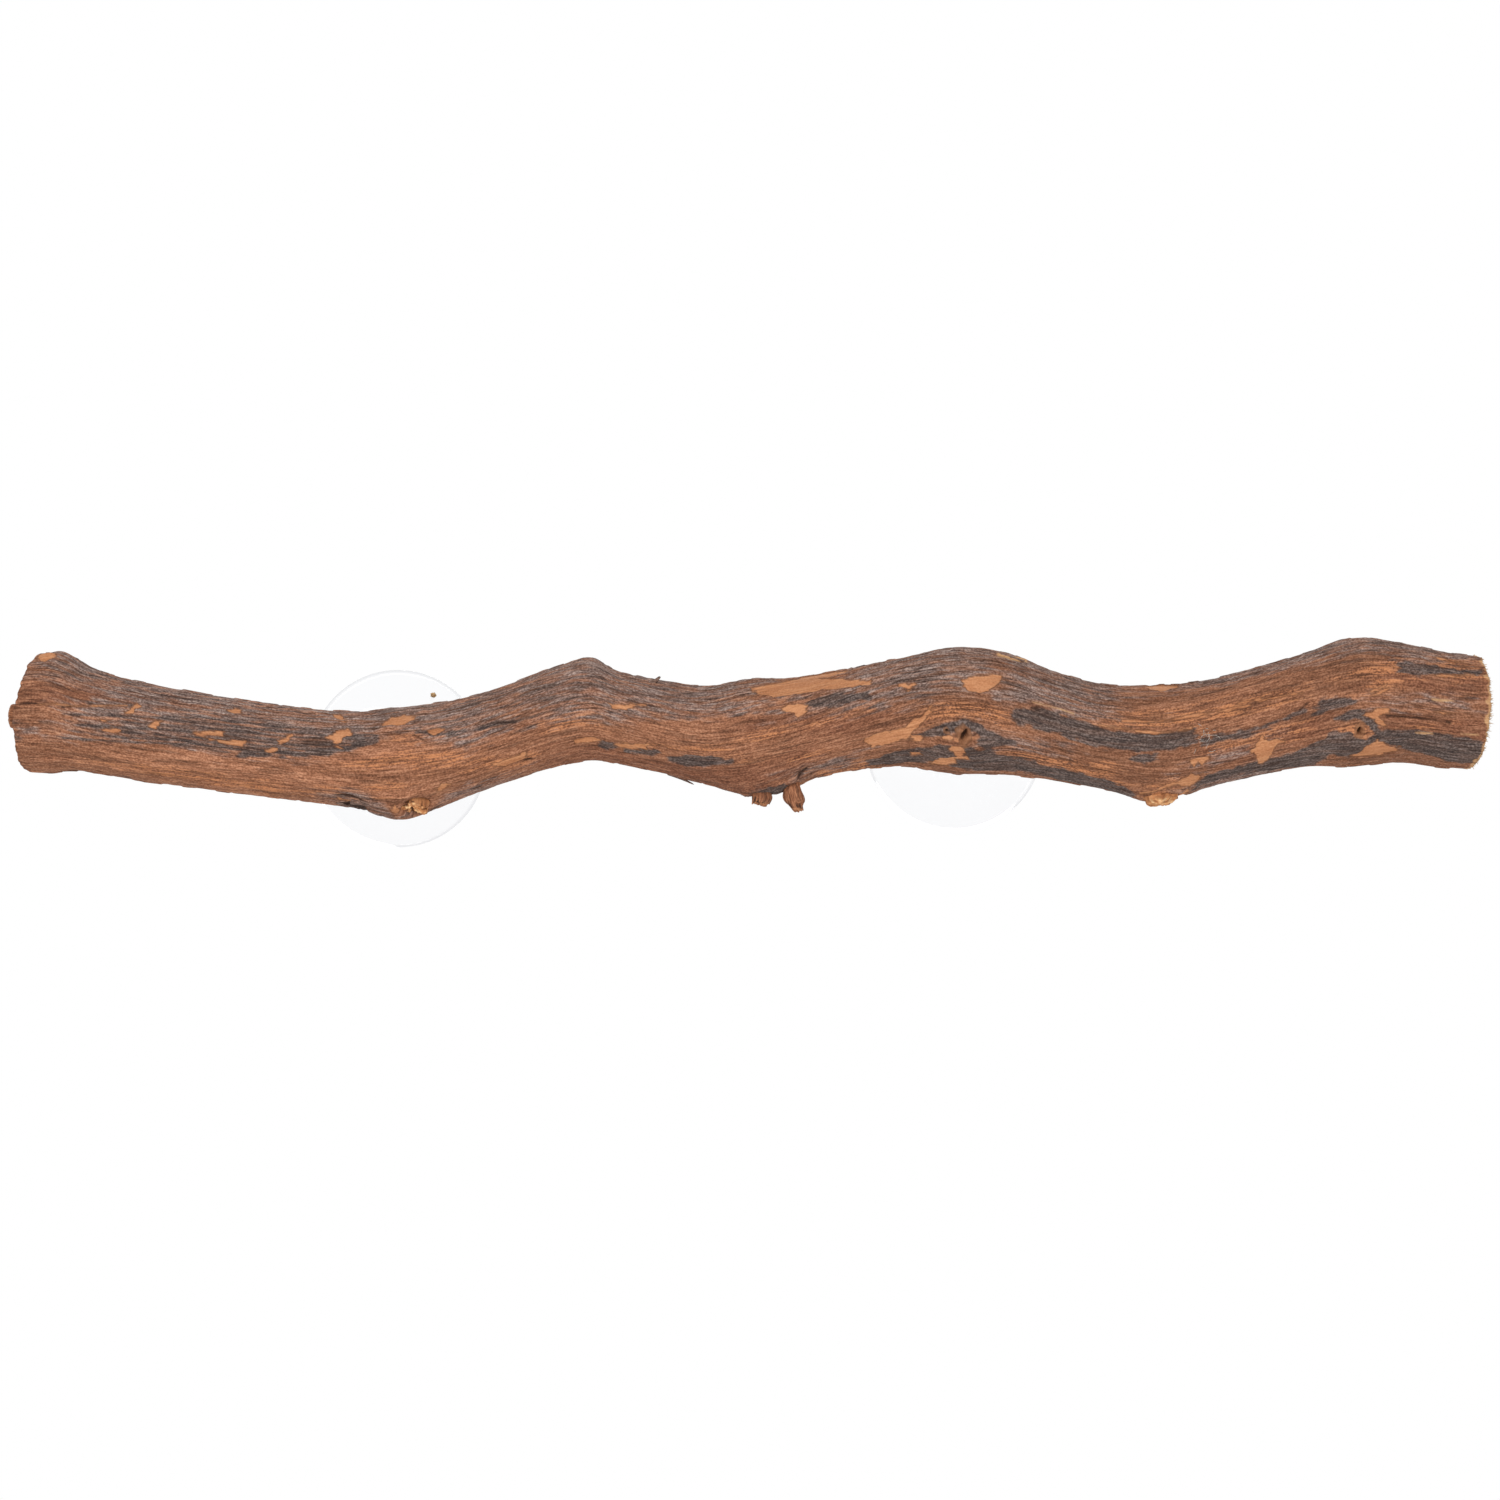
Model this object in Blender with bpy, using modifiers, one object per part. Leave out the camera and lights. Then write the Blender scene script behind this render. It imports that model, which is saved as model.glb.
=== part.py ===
"""Reptile climbing branch: a natural stem with its bark on, and two clear suction cups for terrarium glass.

Metres, +Z up. +X runs along the stem and +Y points at the glass. The origin lies on the glass, midway
between the two cups, so the whole object is on its -Y side.
"""

import math
from dataclasses import dataclass

import bmesh
import bpy
from mathutils import Matrix, Vector

# Fits between pieces
FIT_GAP = 0.0003

# Suction cup: soft clear moulding, measured from the plane of its lip
CUP_SPACING = 0.1537
CUP_RISE = 0.0043
CUP_DIAMETER = 0.049
CUP_HEIGHT = 0.021
DISH_DEPTH = 0.008
LIP_WIDTH = 0.0015
LIP_EDGE = 0.0006
LIP_WALL = 0.0011
HUB_WALL = 0.0034
NECK_DIAMETER = 0.010
NECK_CHAMFER = 0.0006
DISH_RINGS = 7
TURN_STEPS = 36

# Stud moulded into the neck of each cup and turned into the wood
STUD_DIAMETER = 0.004
STUD_GRIP = 0.011
STUD_POINT = 0.0025
HEAD_DIAMETER = 0.0068
HEAD_THICKNESS = 0.002
HEAD_COVER = 0.0042
STUD_STEPS = 20

# Seat drilled for each neck in the back of the stem, measured from the stem's centre line
SEAT_OFFSET = 0.0065

# Stem: bark over wood. Its left cut is this far to the left of the middle between the cups
STEM_LENGTH = 0.3881
STEM_THICKNESS = 0.028
STEM_LEFT = 0.1710
BARK_THICKNESS = 0.0018
BOW_DEPTH = 0.002
BOW_LENGTH = 0.26
STEM_RINGS = 48
STEM_SIDES = 20
LEFT_CUT_LEAN = 0.10
LEFT_CUT_TURN = 0.28
RIGHT_CUT_LEAN = 0.06
RIGHT_CUT_TURN = 0.16
CUT_REACH = 0.022

# Knots: wood of old side shoots, seated in the stem
KNOT_SIDES = 14
KNOT_ROOT = 0.005
KNOT_BEVEL = 0.0008
NUB_DIAMETER = 0.0070
NUB_LENGTH = 0.0046
NUB_ROOT = 0.004
NUB_FORWARD = 0.0070
NUB_DROP = 0.0009


@dataclass(frozen=True)
class Section:
    """One slice across the stem: its share of the length, then its middle and half sizes in thicknesses."""

    share: float
    middle: float
    half_height: float
    half_depth: float


@dataclass(frozen=True)
class Swelling:
    """A rounded bulge: its share of the length, its angle, and its rise and reach in stem thicknesses.

    Angles go round from the top, through the front, to the underside.
    """

    share: float
    angle: float
    rise: float
    reach: float
    spread: float


@dataclass(frozen=True)
class Knot:
    """The stub of a side shoot: its share of the stem's length, its angle, and its own sizes in metres."""

    name: str
    share: float
    angle: float
    base_diameter: float
    end_diameter: float
    stands_out: float


# The stem from the flared left cut to the right cut, as slices across it
SECTIONS = (
    Section(0.000, 0.364, 0.571, 0.500),
    Section(0.012, 0.364, 0.575, 0.530),
    Section(0.022, 0.350, 0.543, 0.520),
    Section(0.036, 0.293, 0.493, 0.493),
    Section(0.078, 0.168, 0.468, 0.468),
    Section(0.147, 0.025, 0.450, 0.457),
    Section(0.217, -0.071, 0.446, 0.457),
    Section(0.251, -0.054, 0.471, 0.464),
    Section(0.286, 0.011, 0.471, 0.471),
    Section(0.321, 0.154, 0.461, 0.464),
    Section(0.355, 0.311, 0.475, 0.464),
    Section(0.382, 0.379, 0.471, 0.464),
    Section(0.404, 0.311, 0.439, 0.450),
    Section(0.459, 0.164, 0.461, 0.464),
    Section(0.494, 0.179, 0.514, 0.500),
    Section(0.529, 0.229, 0.489, 0.493),
    Section(0.598, 0.371, 0.525, 0.514),
    Section(0.633, 0.388, 0.612, 0.543),
    Section(0.668, 0.365, 0.589, 0.543),
    Section(0.702, 0.250, 0.521, 0.521),
    Section(0.737, 0.143, 0.500, 0.507),
    Section(0.772, 0.104, 0.529, 0.521),
    Section(0.807, 0.164, 0.511, 0.514),
    Section(0.876, 0.386, 0.543, 0.536),
    Section(0.911, 0.461, 0.617, 0.564),
    Section(0.945, 0.464, 0.571, 0.557),
    Section(0.980, 0.393, 0.550, 0.550),
    Section(1.000, 0.371, 0.543, 0.543),
)

SWELLINGS = (
    Swelling(0.254, math.radians(158), 0.150, 0.350, 0.75),
    Swelling(0.380, math.radians(10), 0.035, 0.179, 0.60),
    Swelling(0.504, math.radians(172), 0.112, 0.400, 0.65),
    Swelling(0.775, math.radians(165), 0.055, 0.321, 0.60),
)

KNOTS = (
    Knot("left_knot", 0.262, math.radians(148), 0.0086, 0.0070, 0.0010),
    Knot("middle_stub_left", 0.501, math.radians(172), 0.0066, 0.0052, 0.0022),
    Knot("middle_stub_right", 0.5235, math.radians(168), 0.0058, 0.0044, 0.0070),
    Knot("right_knot", 0.779, math.radians(165), 0.0104, 0.0070, 0.0010),
)

# Places that follow from the sizes above
CUP_SIDES = ((-1, "left"), (1, "right"))
SEAT_FLOOR = -(CUP_HEIGHT + FIT_GAP)
STEM_AXIS = SEAT_FLOOR - SEAT_OFFSET
HEAD_PLANE = DISH_DEPTH + HEAD_COVER

COLOURS = {
    "bark": ((0.22, 0.10, 0.055), 0.85, 0.0),
    "wood": ((0.50, 0.27, 0.12), 0.80, 0.0),
    "clear_pvc": ((0.90, 0.92, 0.93), 0.15, 0.0),
    "zinc": ((0.62, 0.63, 0.64), 0.35, 1.0),
}


def clear_scene():
    """Remove whatever the startup file holds."""
    for obj in list(bpy.data.objects):
        bpy.data.objects.remove(obj, do_unlink=True)


def new_collection(name):
    """Add a collection to the scene."""
    collection = bpy.data.collections.new(name)
    bpy.context.scene.collection.children.link(collection)
    return collection


def make_materials():
    """Make one Principled material for each finish."""
    made = {}
    for name, (colour, roughness, metallic) in COLOURS.items():
        material = bpy.data.materials.new(name)
        material.use_nodes = True
        shader = material.node_tree.nodes["Principled BSDF"]
        shader.inputs["Base Color"].default_value = (*colour, 1.0)
        shader.inputs["Roughness"].default_value = roughness
        shader.inputs["Metallic"].default_value = metallic
        made[name] = material
    return made


def add_object(name, mesh, collection, material=None):
    """Put a mesh into a collection as a named object, shaded smooth up to its sharp edges."""
    obj = bpy.data.objects.new(name, mesh)
    collection.objects.link(obj)
    if material:
        mesh.materials.append(material)
        mesh.shade_smooth()
        mesh.set_sharp_from_angle(angle=math.radians(35))
    return obj


def add_cutter(name, mesh, collection):
    """Put a mesh into the collection of cutters, which are drawn as wires and never rendered."""
    obj = add_object(name, mesh, collection)
    obj.hide_render = True
    obj.display_type = "WIRE"
    return obj


def cut(obj, cutter):
    """Take a cutter out of an object."""
    modifier = obj.modifiers.new(f"cut_{cutter.name}", "BOOLEAN")
    modifier.operation = "DIFFERENCE"
    modifier.solver = "EXACT"
    modifier.object = cutter


def smooth_value(name, share):
    """A section's value in metres, on a smooth curve through its neighbours."""
    last = len(SECTIONS) - 1
    i = max(k for k in range(last) if k == 0 or SECTIONS[k].share <= share)
    a, b = SECTIONS[i], SECTIONS[i + 1]
    before, after = SECTIONS[max(i - 1, 0)], SECTIONS[min(i + 2, last)]
    span = b.share - a.share
    t = (share - a.share) / span
    start, end = getattr(a, name), getattr(b, name)
    slope_start = (end - getattr(before, name)) / (b.share - before.share) * span
    slope_end = (getattr(after, name) - start) / (after.share - a.share) * span
    cubic = 2 * t**3 - 3 * t**2
    value = (1 + cubic) * start - cubic * end
    value += (t**3 - 2 * t**2 + t) * slope_start + (t**3 - t**2) * slope_end
    return value * STEM_THICKNESS


def stem_middle(share):
    """The stem's centre line at a share of its length."""
    x = STEM_LENGTH * share - STEM_LEFT
    bow = BOW_DEPTH * math.cos(2 * math.pi * x / BOW_LENGTH)
    return Vector((x, STEM_AXIS + bow, smooth_value("middle", share)))


def round_direction(angle):
    """The direction across the stem at an angle from the top, through the front, to the underside."""
    return Vector((0.0, -math.sin(angle), math.cos(angle)))


def stem_radius(share, angle):
    """How far the bark's surface lies from the centre line: an ellipse with the swellings added."""
    across = math.sin(angle) / smooth_value("half_depth", share)
    up = math.cos(angle) / smooth_value("half_height", share)
    radius = 1 / math.hypot(across, up)
    for bulge in SWELLINGS:
        along = (share - bulge.share) * STEM_LENGTH / (bulge.reach * STEM_THICKNESS)
        turn = math.remainder(angle - bulge.angle, 2 * math.pi) / bulge.spread
        radius += bulge.rise * STEM_THICKNESS * math.exp(-(along**2) - turn**2)
    return radius


def left_slant(across):
    """How far the left cut's slant carries a point that lies this far across the stem."""
    return LEFT_CUT_LEAN * across.z + LEFT_CUT_TURN * across.y


def right_slant(across):
    """How far the right cut's slant carries such a point. The cut turns back from the stem's front."""
    front = smooth_value("half_depth", 1.0)
    return RIGHT_CUT_LEAN * across.z - RIGHT_CUT_TURN * (front + across.y)


def stem_point(share, angle, inset):
    """A point of the stem's surface, a given depth under the bark, with the cuts' slants near the ends."""
    across = round_direction(angle) * (stem_radius(share, angle) - inset)
    near_left = max(0.0, 1 - share * STEM_LENGTH / CUT_REACH)
    near_right = max(0.0, 1 - (1 - share) * STEM_LENGTH / CUT_REACH)
    slant = near_left * left_slant(across) + near_right * right_slant(across)
    return stem_middle(share) + across + Vector((slant, 0, 0))


def add_ring(shell, share, inset):
    """One ring of the stem's surface."""
    angles = [2 * math.pi * k / STEM_SIDES for k in range(STEM_SIDES)]
    return [shell.verts.new(stem_point(share, angle, inset)) for angle in angles]


def join_rings(shell, first, second):
    """The band of faces between two rings of as many points."""
    for k in range(STEM_SIDES):
        n = (k + 1) % STEM_SIDES
        shell.faces.new((first[k], first[n], second[n], second[k]))


def ring_shares():
    """Where the stem's rings lie, evenly from one cut to the other."""
    return [k / STEM_RINGS for k in range(STEM_RINGS + 1)]


def finish_mesh(name, shell):
    """Turn a finished bmesh into a mesh whose faces point out."""
    bmesh.ops.recalc_face_normals(shell, faces=shell.faces)
    mesh = bpy.data.meshes.new(name)
    shell.to_mesh(mesh)
    shell.free()
    return mesh


def wood_mesh():
    """The wood: a loft through the stem's unlike slices, closed by the two saw cuts."""
    shell = bmesh.new()
    rings = [add_ring(shell, share, BARK_THICKNESS + FIT_GAP) for share in ring_shares()]
    for first, second in zip(rings, rings[1:]):
        join_rings(shell, first, second)
    shell.faces.new(rings[0])
    shell.faces.new(rings[-1])
    return finish_mesh("wood_core", shell)


def bark_mesh():
    """The bark: a sleeve of even thickness over the wood, open at the two saw cuts."""
    shell = bmesh.new()
    outer = [add_ring(shell, share, 0.0) for share in ring_shares()]
    inner = [add_ring(shell, share, BARK_THICKNESS) for share in ring_shares()]
    for rings in (outer, inner):
        for first, second in zip(rings, rings[1:]):
            join_rings(shell, first, second)
    join_rings(shell, outer[0], inner[0])
    join_rings(shell, outer[-1], inner[-1])
    return finish_mesh("bark", shell)


def plug_mesh(name, start, direction, length, start_radius, end_radius, sides):
    """A straight round plug, tapered from its start to its end."""
    shell = bmesh.new()
    turn = direction.to_track_quat("Z", "Y").to_matrix().to_4x4()
    place = Matrix.Translation(start + direction * (length / 2)) @ turn
    bmesh.ops.create_cone(
        shell,
        cap_ends=True,
        segments=sides,
        radius1=start_radius,
        radius2=end_radius,
        depth=length,
        matrix=place,
    )
    return finish_mesh(name, shell)


def turned_object(name, profile, steps, collection, material):
    """A turned piece: a profile of (radius, distance along the axis) points, carried round the axis."""
    mesh = bpy.data.meshes.new(name)
    points = [(radius, 0.0, along) for radius, along in profile]
    edges = [(k, k + 1) for k in range(len(points) - 1)]
    mesh.from_pydata(points, edges, [])
    obj = add_object(name, mesh, collection, material)
    turn = obj.modifiers.new("turn", "SCREW")
    turn.axis = "Z"
    turn.angle = 2 * math.pi
    turn.steps = turn.render_steps = steps
    turn.use_merge_vertices = True
    turn.merge_threshold = 0.00001
    turn.use_smooth_shade = True
    return obj


def dish_curve(radius, depth, edge):
    """How far a spherical dish of that depth lies behind its edge, at a radius."""
    ball = (edge**2 + depth**2) / (2 * depth)
    return math.sqrt(ball**2 - radius**2) - (ball - depth)


def cup_profile():
    """The cup's outline from the neck's cavity, over the outside to the lip, and back to the dish's middle.

    It runs down the outside, so that the turned faces point out. Distances are from the lip's plane.
    """
    lip_outer = CUP_DIAMETER / 2
    lip_inner = lip_outer - LIP_WIDTH
    neck = NECK_DIAMETER / 2
    bore = STUD_DIAMETER / 2 + FIT_GAP
    pocket = HEAD_DIAMETER / 2 + FIT_GAP
    cavity = [
        (0.0, HEAD_PLANE - FIT_GAP),
        (pocket, HEAD_PLANE - FIT_GAP),
        (pocket, HEAD_PLANE + HEAD_THICKNESS + FIT_GAP),
        (bore, HEAD_PLANE + HEAD_THICKNESS + FIT_GAP),
        (bore, CUP_HEIGHT),
    ]
    collar = [
        (neck - NECK_CHAMFER, CUP_HEIGHT),
        (neck, CUP_HEIGHT - NECK_CHAMFER),
    ]
    outside = []
    for k in range(DISH_RINGS):
        share = k / DISH_RINGS
        radius = neck + (lip_outer - neck) * share
        wall = HUB_WALL + (LIP_WALL - HUB_WALL) * share
        outside.append((radius, dish_curve(radius, DISH_DEPTH, lip_outer) + wall))
    lip = [(lip_outer, LIP_EDGE), (lip_outer, 0.0)]
    inside = []
    for k in range(DISH_RINGS + 1):
        radius = lip_inner * (1 - k / DISH_RINGS)
        inside.append((radius, dish_curve(radius, DISH_DEPTH, lip_inner)))
    return cavity + collar + outside + lip + inside


def stud_profile():
    """The stud's outline from its point, down the shank, to the flat head moulded into the neck."""
    shank = STUD_DIAMETER / 2
    head = HEAD_DIAMETER / 2
    tip = CUP_HEIGHT + FIT_GAP + STUD_GRIP
    return [
        (0.0, tip),
        (shank, tip - STUD_POINT),
        (shank, HEAD_PLANE + HEAD_THICKNESS),
        (head, HEAD_PLANE + HEAD_THICKNESS),
        (head, HEAD_PLANE),
        (0.0, HEAD_PLANE),
    ]


def cup_axis(side):
    """An empty on a cup's axis, at the plane of its lip. Its Z points from the glass into the stem."""
    empty = bpy.data.objects.new(f"{'left' if side < 0 else 'right'}_cup_axis", None)
    empty.location = (side * CUP_SPACING / 2, 0.0, side * CUP_RISE / 2)
    empty.rotation_euler = (math.radians(90), 0.0, 0.0)
    return empty


def add_cup(side, name, parts, materials):
    """One suction cup and its stud, carried by an empty on their axis."""
    axis = cup_axis(side)
    parts.objects.link(axis)
    cup = turned_object(f"{name}_suction_cup", cup_profile(), TURN_STEPS, parts, materials["clear_pvc"])
    stud = turned_object(f"{name}_stud", stud_profile(), STUD_STEPS, parts, materials["zinc"])
    cup.parent = stud.parent = axis


def seat_cutters(side, name, cutters):
    """The drilled seat for a cup's neck, and the pilot hole for its stud."""
    centre = Vector((side * CUP_SPACING / 2, SEAT_FLOOR, side * CUP_RISE / 2))
    into_stem = Vector((0, -1, 0))
    seat = NECK_DIAMETER / 2 + FIT_GAP
    pilot = STUD_DIAMETER / 2 + FIT_GAP
    pilot_length = STUD_GRIP + 2 * FIT_GAP
    overlap = FIT_GAP
    mouth = plug_mesh(f"{name}_seat", centre, -into_stem, -SEAT_FLOOR, seat, seat, TURN_STEPS)
    hole = plug_mesh(
        f"{name}_pilot",
        centre - into_stem * overlap,
        into_stem,
        pilot_length + overlap,
        pilot,
        pilot,
        STUD_STEPS,
    )
    return [add_cutter(mesh.name, mesh, cutters) for mesh in (mouth, hole)]


def knot_plug(knot, extra):
    """A knot's plug, from its root in the wood to its end, larger all round by extra for its socket."""
    direction = round_direction(knot.angle)
    root_depth = BARK_THICKNESS + KNOT_ROOT
    surface = stem_middle(knot.share) + direction * stem_radius(knot.share, knot.angle)
    return plug_mesh(
        knot.name,
        surface - direction * (root_depth + extra),
        direction,
        root_depth + knot.stands_out + 2 * extra,
        knot.base_diameter / 2 + extra,
        knot.end_diameter / 2 + extra,
        KNOT_SIDES,
    )


def end_nub_plug(extra):
    """The nub left standing on the left cut. Extra makes it larger all round, for its socket."""
    outwards = Vector((-1, 0, 0))
    across = Vector((0, -NUB_FORWARD, -NUB_DROP))
    face = stem_middle(0.0) + across + Vector((left_slant(across), 0, 0))
    root = face - outwards * (NUB_ROOT + extra)
    radius = NUB_DIAMETER / 2 + extra
    return plug_mesh("end_nub", root, outwards, NUB_ROOT + NUB_LENGTH + 2 * extra, radius, radius, KNOT_SIDES)


def round_rim(obj):
    """Soften a knot's broken end."""
    bevel = obj.modifiers.new("soft_rim", "BEVEL")
    bevel.width = KNOT_BEVEL
    bevel.segments = 2
    bevel.limit_method = "ANGLE"


def build():
    """Build the stem, its knots and the two suction cups."""
    clear_scene()
    materials = make_materials()
    parts = new_collection("reptile_branch")
    cutters = new_collection("cutters")

    wood = add_object("wood_core", wood_mesh(), parts, materials["wood"])
    bark = add_object("bark", bark_mesh(), parts, materials["bark"])
    for side, name in CUP_SIDES:
        add_cup(side, name, parts, materials)
        for cutter in seat_cutters(side, name, cutters):
            cut(wood, cutter)
            cut(bark, cutter)
    for knot in KNOTS:
        round_rim(add_object(knot.name, knot_plug(knot, 0.0), parts, materials["wood"]))
        socket = add_cutter(f"{knot.name}_socket", knot_plug(knot, FIT_GAP), cutters)
        cut(wood, socket)
        cut(bark, socket)
    round_rim(add_object("end_nub", end_nub_plug(0.0), parts, materials["wood"]))
    cut(wood, add_cutter("end_nub_socket", end_nub_plug(FIT_GAP), cutters))


build()
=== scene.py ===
"""Reptile branch, dressed for rendering: bark, torn knots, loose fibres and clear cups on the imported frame.

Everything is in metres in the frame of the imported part: +X along the stem, +Y into the glass, +Z up, with the
origin on the glass midway between the cups. Surfaces are functions of two parameters, as whole arrays.
"""

from __future__ import annotations

import itertools
import logging
import math
from dataclasses import dataclass
from enum import Enum
from functools import partial, reduce

import bpy
import numpy as np
from bpy.types import Material, Node, NodeOutputs, NodeTree, Object
from bpy.types import NodeSocket as Socket
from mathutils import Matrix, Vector

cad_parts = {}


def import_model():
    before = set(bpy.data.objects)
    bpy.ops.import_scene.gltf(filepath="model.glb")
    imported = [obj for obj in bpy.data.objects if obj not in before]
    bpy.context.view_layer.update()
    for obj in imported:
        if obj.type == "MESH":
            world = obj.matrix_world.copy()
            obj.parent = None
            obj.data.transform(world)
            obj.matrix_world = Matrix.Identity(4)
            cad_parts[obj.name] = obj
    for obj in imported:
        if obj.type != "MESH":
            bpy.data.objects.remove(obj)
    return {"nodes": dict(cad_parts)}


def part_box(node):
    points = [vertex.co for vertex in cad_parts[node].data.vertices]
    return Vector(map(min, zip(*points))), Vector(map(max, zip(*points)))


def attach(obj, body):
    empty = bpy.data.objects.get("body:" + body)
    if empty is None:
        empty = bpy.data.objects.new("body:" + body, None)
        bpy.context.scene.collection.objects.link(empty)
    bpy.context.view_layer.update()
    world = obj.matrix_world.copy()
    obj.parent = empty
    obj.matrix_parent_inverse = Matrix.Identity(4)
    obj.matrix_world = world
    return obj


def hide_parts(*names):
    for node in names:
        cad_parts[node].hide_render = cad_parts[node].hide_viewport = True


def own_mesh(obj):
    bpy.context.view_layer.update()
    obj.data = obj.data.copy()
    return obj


LOG = logging.getLogger("reptile_branch")
MM = 0.001

Array = np.ndarray
Pair = tuple[Array, Array]
Span = tuple[float, float]
Triple = tuple[float, float, float]
Shares = tuple[float, ...]
Ramp = tuple[tuple[float, Triple], ...]

ALONG_STEM = np.array([1.0, 0.0, 0.0])
UPWARDS = np.array([0.0, 0.0, 1.0])
TINY = 1e-9


class Layer(Enum):
    """What shows at a place on the bark."""

    BARE = "bare"
    CHAR = "char"
    GREY = "grey"
    RUST = "rust"
    RED = "red"
    STRAW = "straw"
    CRACK = "crack"


@dataclass(frozen=True)
class Mark:
    """A patch of one layer, as the photograph shows it.

    Each edge entry is a pixel column with the pixel rows of the patch's upper and lower edge. A row outside
    the outline carries the patch round towards the back. Ragged is its share of the layer's raggedness.
    """

    name: str
    layer: Layer
    edges: tuple[Triple, ...]
    ragged: float


@dataclass(frozen=True)
class Streak:
    """A noise drawn out along the fibres: its cell along the stem and round it, its seed and its share."""

    along: float
    across: float
    seed: int
    share: float = 1.0


@dataclass(frozen=True)
class LayerForm:
    """How a layer lies on the bark.

    Ragged is how far its edges wander, chipped how much they are broken besides, soft how wide they fade and
    open how fast a patch widens from its ends. Rise is how far it stands out of the bark. On the unseen back
    it lies where a noise passes a level, and gain turns the noise into a distance.
    """

    ragged: float
    soft: float
    rise: float
    back: Streak
    level: float
    gain: float
    open: float = 0.6
    chipped: float = 0.0


@dataclass(frozen=True)
class Eye:
    """A small grown-over knot: a slit that tilts to the right in a raised collar.

    Half sizes are in pixels. Ring and crest are the middle and half width of the collar's bare ring and of
    its ridge, in collar sizes. The ring shows by a share, with an uneven and soft edge. The hole starts at
    its reach, in slit sizes, and deepens over its slope.
    """

    name: str
    column: float
    row: float
    half_wide: float
    half_high: float
    slit_wide: float
    slit_high: float
    tilt: float
    hole_depth: float
    ring_rise: float
    ring: Span = (0.7, 0.35)
    ring_share: float = 0.65
    ring_uneven: float = 0.5
    ring_soft: float = 0.15
    crest: Span = (0.8, 0.5)
    slit_soft: float = 0.2
    reach: float = 1.15
    slope: Span = (-0.3, 0.4)


@dataclass(frozen=True)
class Bump:
    """A small swelling of the bark: its pixel place, its half sizes in pixels and its rise."""

    name: str
    column: float
    row: float
    half_wide: float
    half_high: float
    rise: float


@dataclass(frozen=True)
class Parting:
    """A knot that the fibres run round: its pixel place, pull, reach along the stem and spread round it."""

    name: str
    column: float
    row: float
    pull: float
    reach: float
    spread: float


@dataclass(frozen=True)
class Ledge:
    """A broken plate of bark on the underside, which rises to its edge and drops behind it."""

    column: float = 798.5
    row: float = 770.0
    reach: float = 6.0 * MM
    rise: float = 0.3 * MM
    drop: float = -0.1 * MM
    wander: float = 0.8 * MM
    step: Span = (-0.5 * MM, 0.3 * MM)
    front: Span = (math.radians(112), math.radians(140))
    back: Span = (math.radians(205), math.radians(230))
    edge: Streak = Streak(30 * MM, 1.5 * MM, 36)


@dataclass(frozen=True)
class Fissures:
    """Fine dark lines where a stretched noise passes through zero, broken up by a slower one."""

    path: Streak = Streak(17 * MM, 1.9 * MM, 14)
    half: float = 0.09
    soft: float = 0.07
    breaks: Streak = Streak(9 * MM, 2.6 * MM, 15)
    gaps: Span = (-0.05, 0.35)
    on_brown: float = 0.35
    more_on_grey: float = 0.65
    share: float = 0.42


@dataclass(frozen=True)
class Section:
    """One slice across the stem: its share of the length, then its middle and half sizes in thicknesses."""

    share: float
    middle: float
    half_height: float
    half_depth: float


@dataclass(frozen=True)
class Swelling:
    """A rounded bulge of the stem. Angles go from the top, through the front, to the underside."""

    share: float
    angle: float
    rise: float
    reach: float
    spread: float


SECTIONS = tuple(
    Section(*row)
    for row in (
        (0.000, 0.364, 0.571, 0.500), (0.012, 0.364, 0.575, 0.530), (0.022, 0.350, 0.543, 0.520),
        (0.036, 0.293, 0.493, 0.493), (0.078, 0.168, 0.468, 0.468), (0.147, 0.025, 0.450, 0.457),
        (0.217, -0.071, 0.446, 0.457), (0.251, -0.054, 0.471, 0.464), (0.286, 0.011, 0.471, 0.471),
        (0.321, 0.154, 0.461, 0.464), (0.355, 0.311, 0.475, 0.464), (0.382, 0.379, 0.471, 0.464),
        (0.404, 0.311, 0.439, 0.450), (0.459, 0.164, 0.461, 0.464), (0.494, 0.179, 0.514, 0.500),
        (0.529, 0.229, 0.489, 0.493), (0.598, 0.371, 0.525, 0.514), (0.633, 0.388, 0.612, 0.543),
        (0.668, 0.365, 0.589, 0.543), (0.702, 0.250, 0.521, 0.521), (0.737, 0.143, 0.500, 0.507),
        (0.772, 0.104, 0.529, 0.521), (0.807, 0.164, 0.511, 0.514), (0.876, 0.386, 0.543, 0.536),
        (0.911, 0.461, 0.617, 0.564), (0.945, 0.464, 0.571, 0.557), (0.980, 0.393, 0.550, 0.550),
        (1.000, 0.371, 0.543, 0.543),
    )
)

SWELLINGS = (
    Swelling(0.254, math.radians(158), 0.150, 0.350, 0.75),
    Swelling(0.380, math.radians(10), 0.035, 0.179, 0.60),
    Swelling(0.504, math.radians(172), 0.112, 0.400, 0.65),
    Swelling(0.775, math.radians(165), 0.055, 0.321, 0.60),
)

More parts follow.
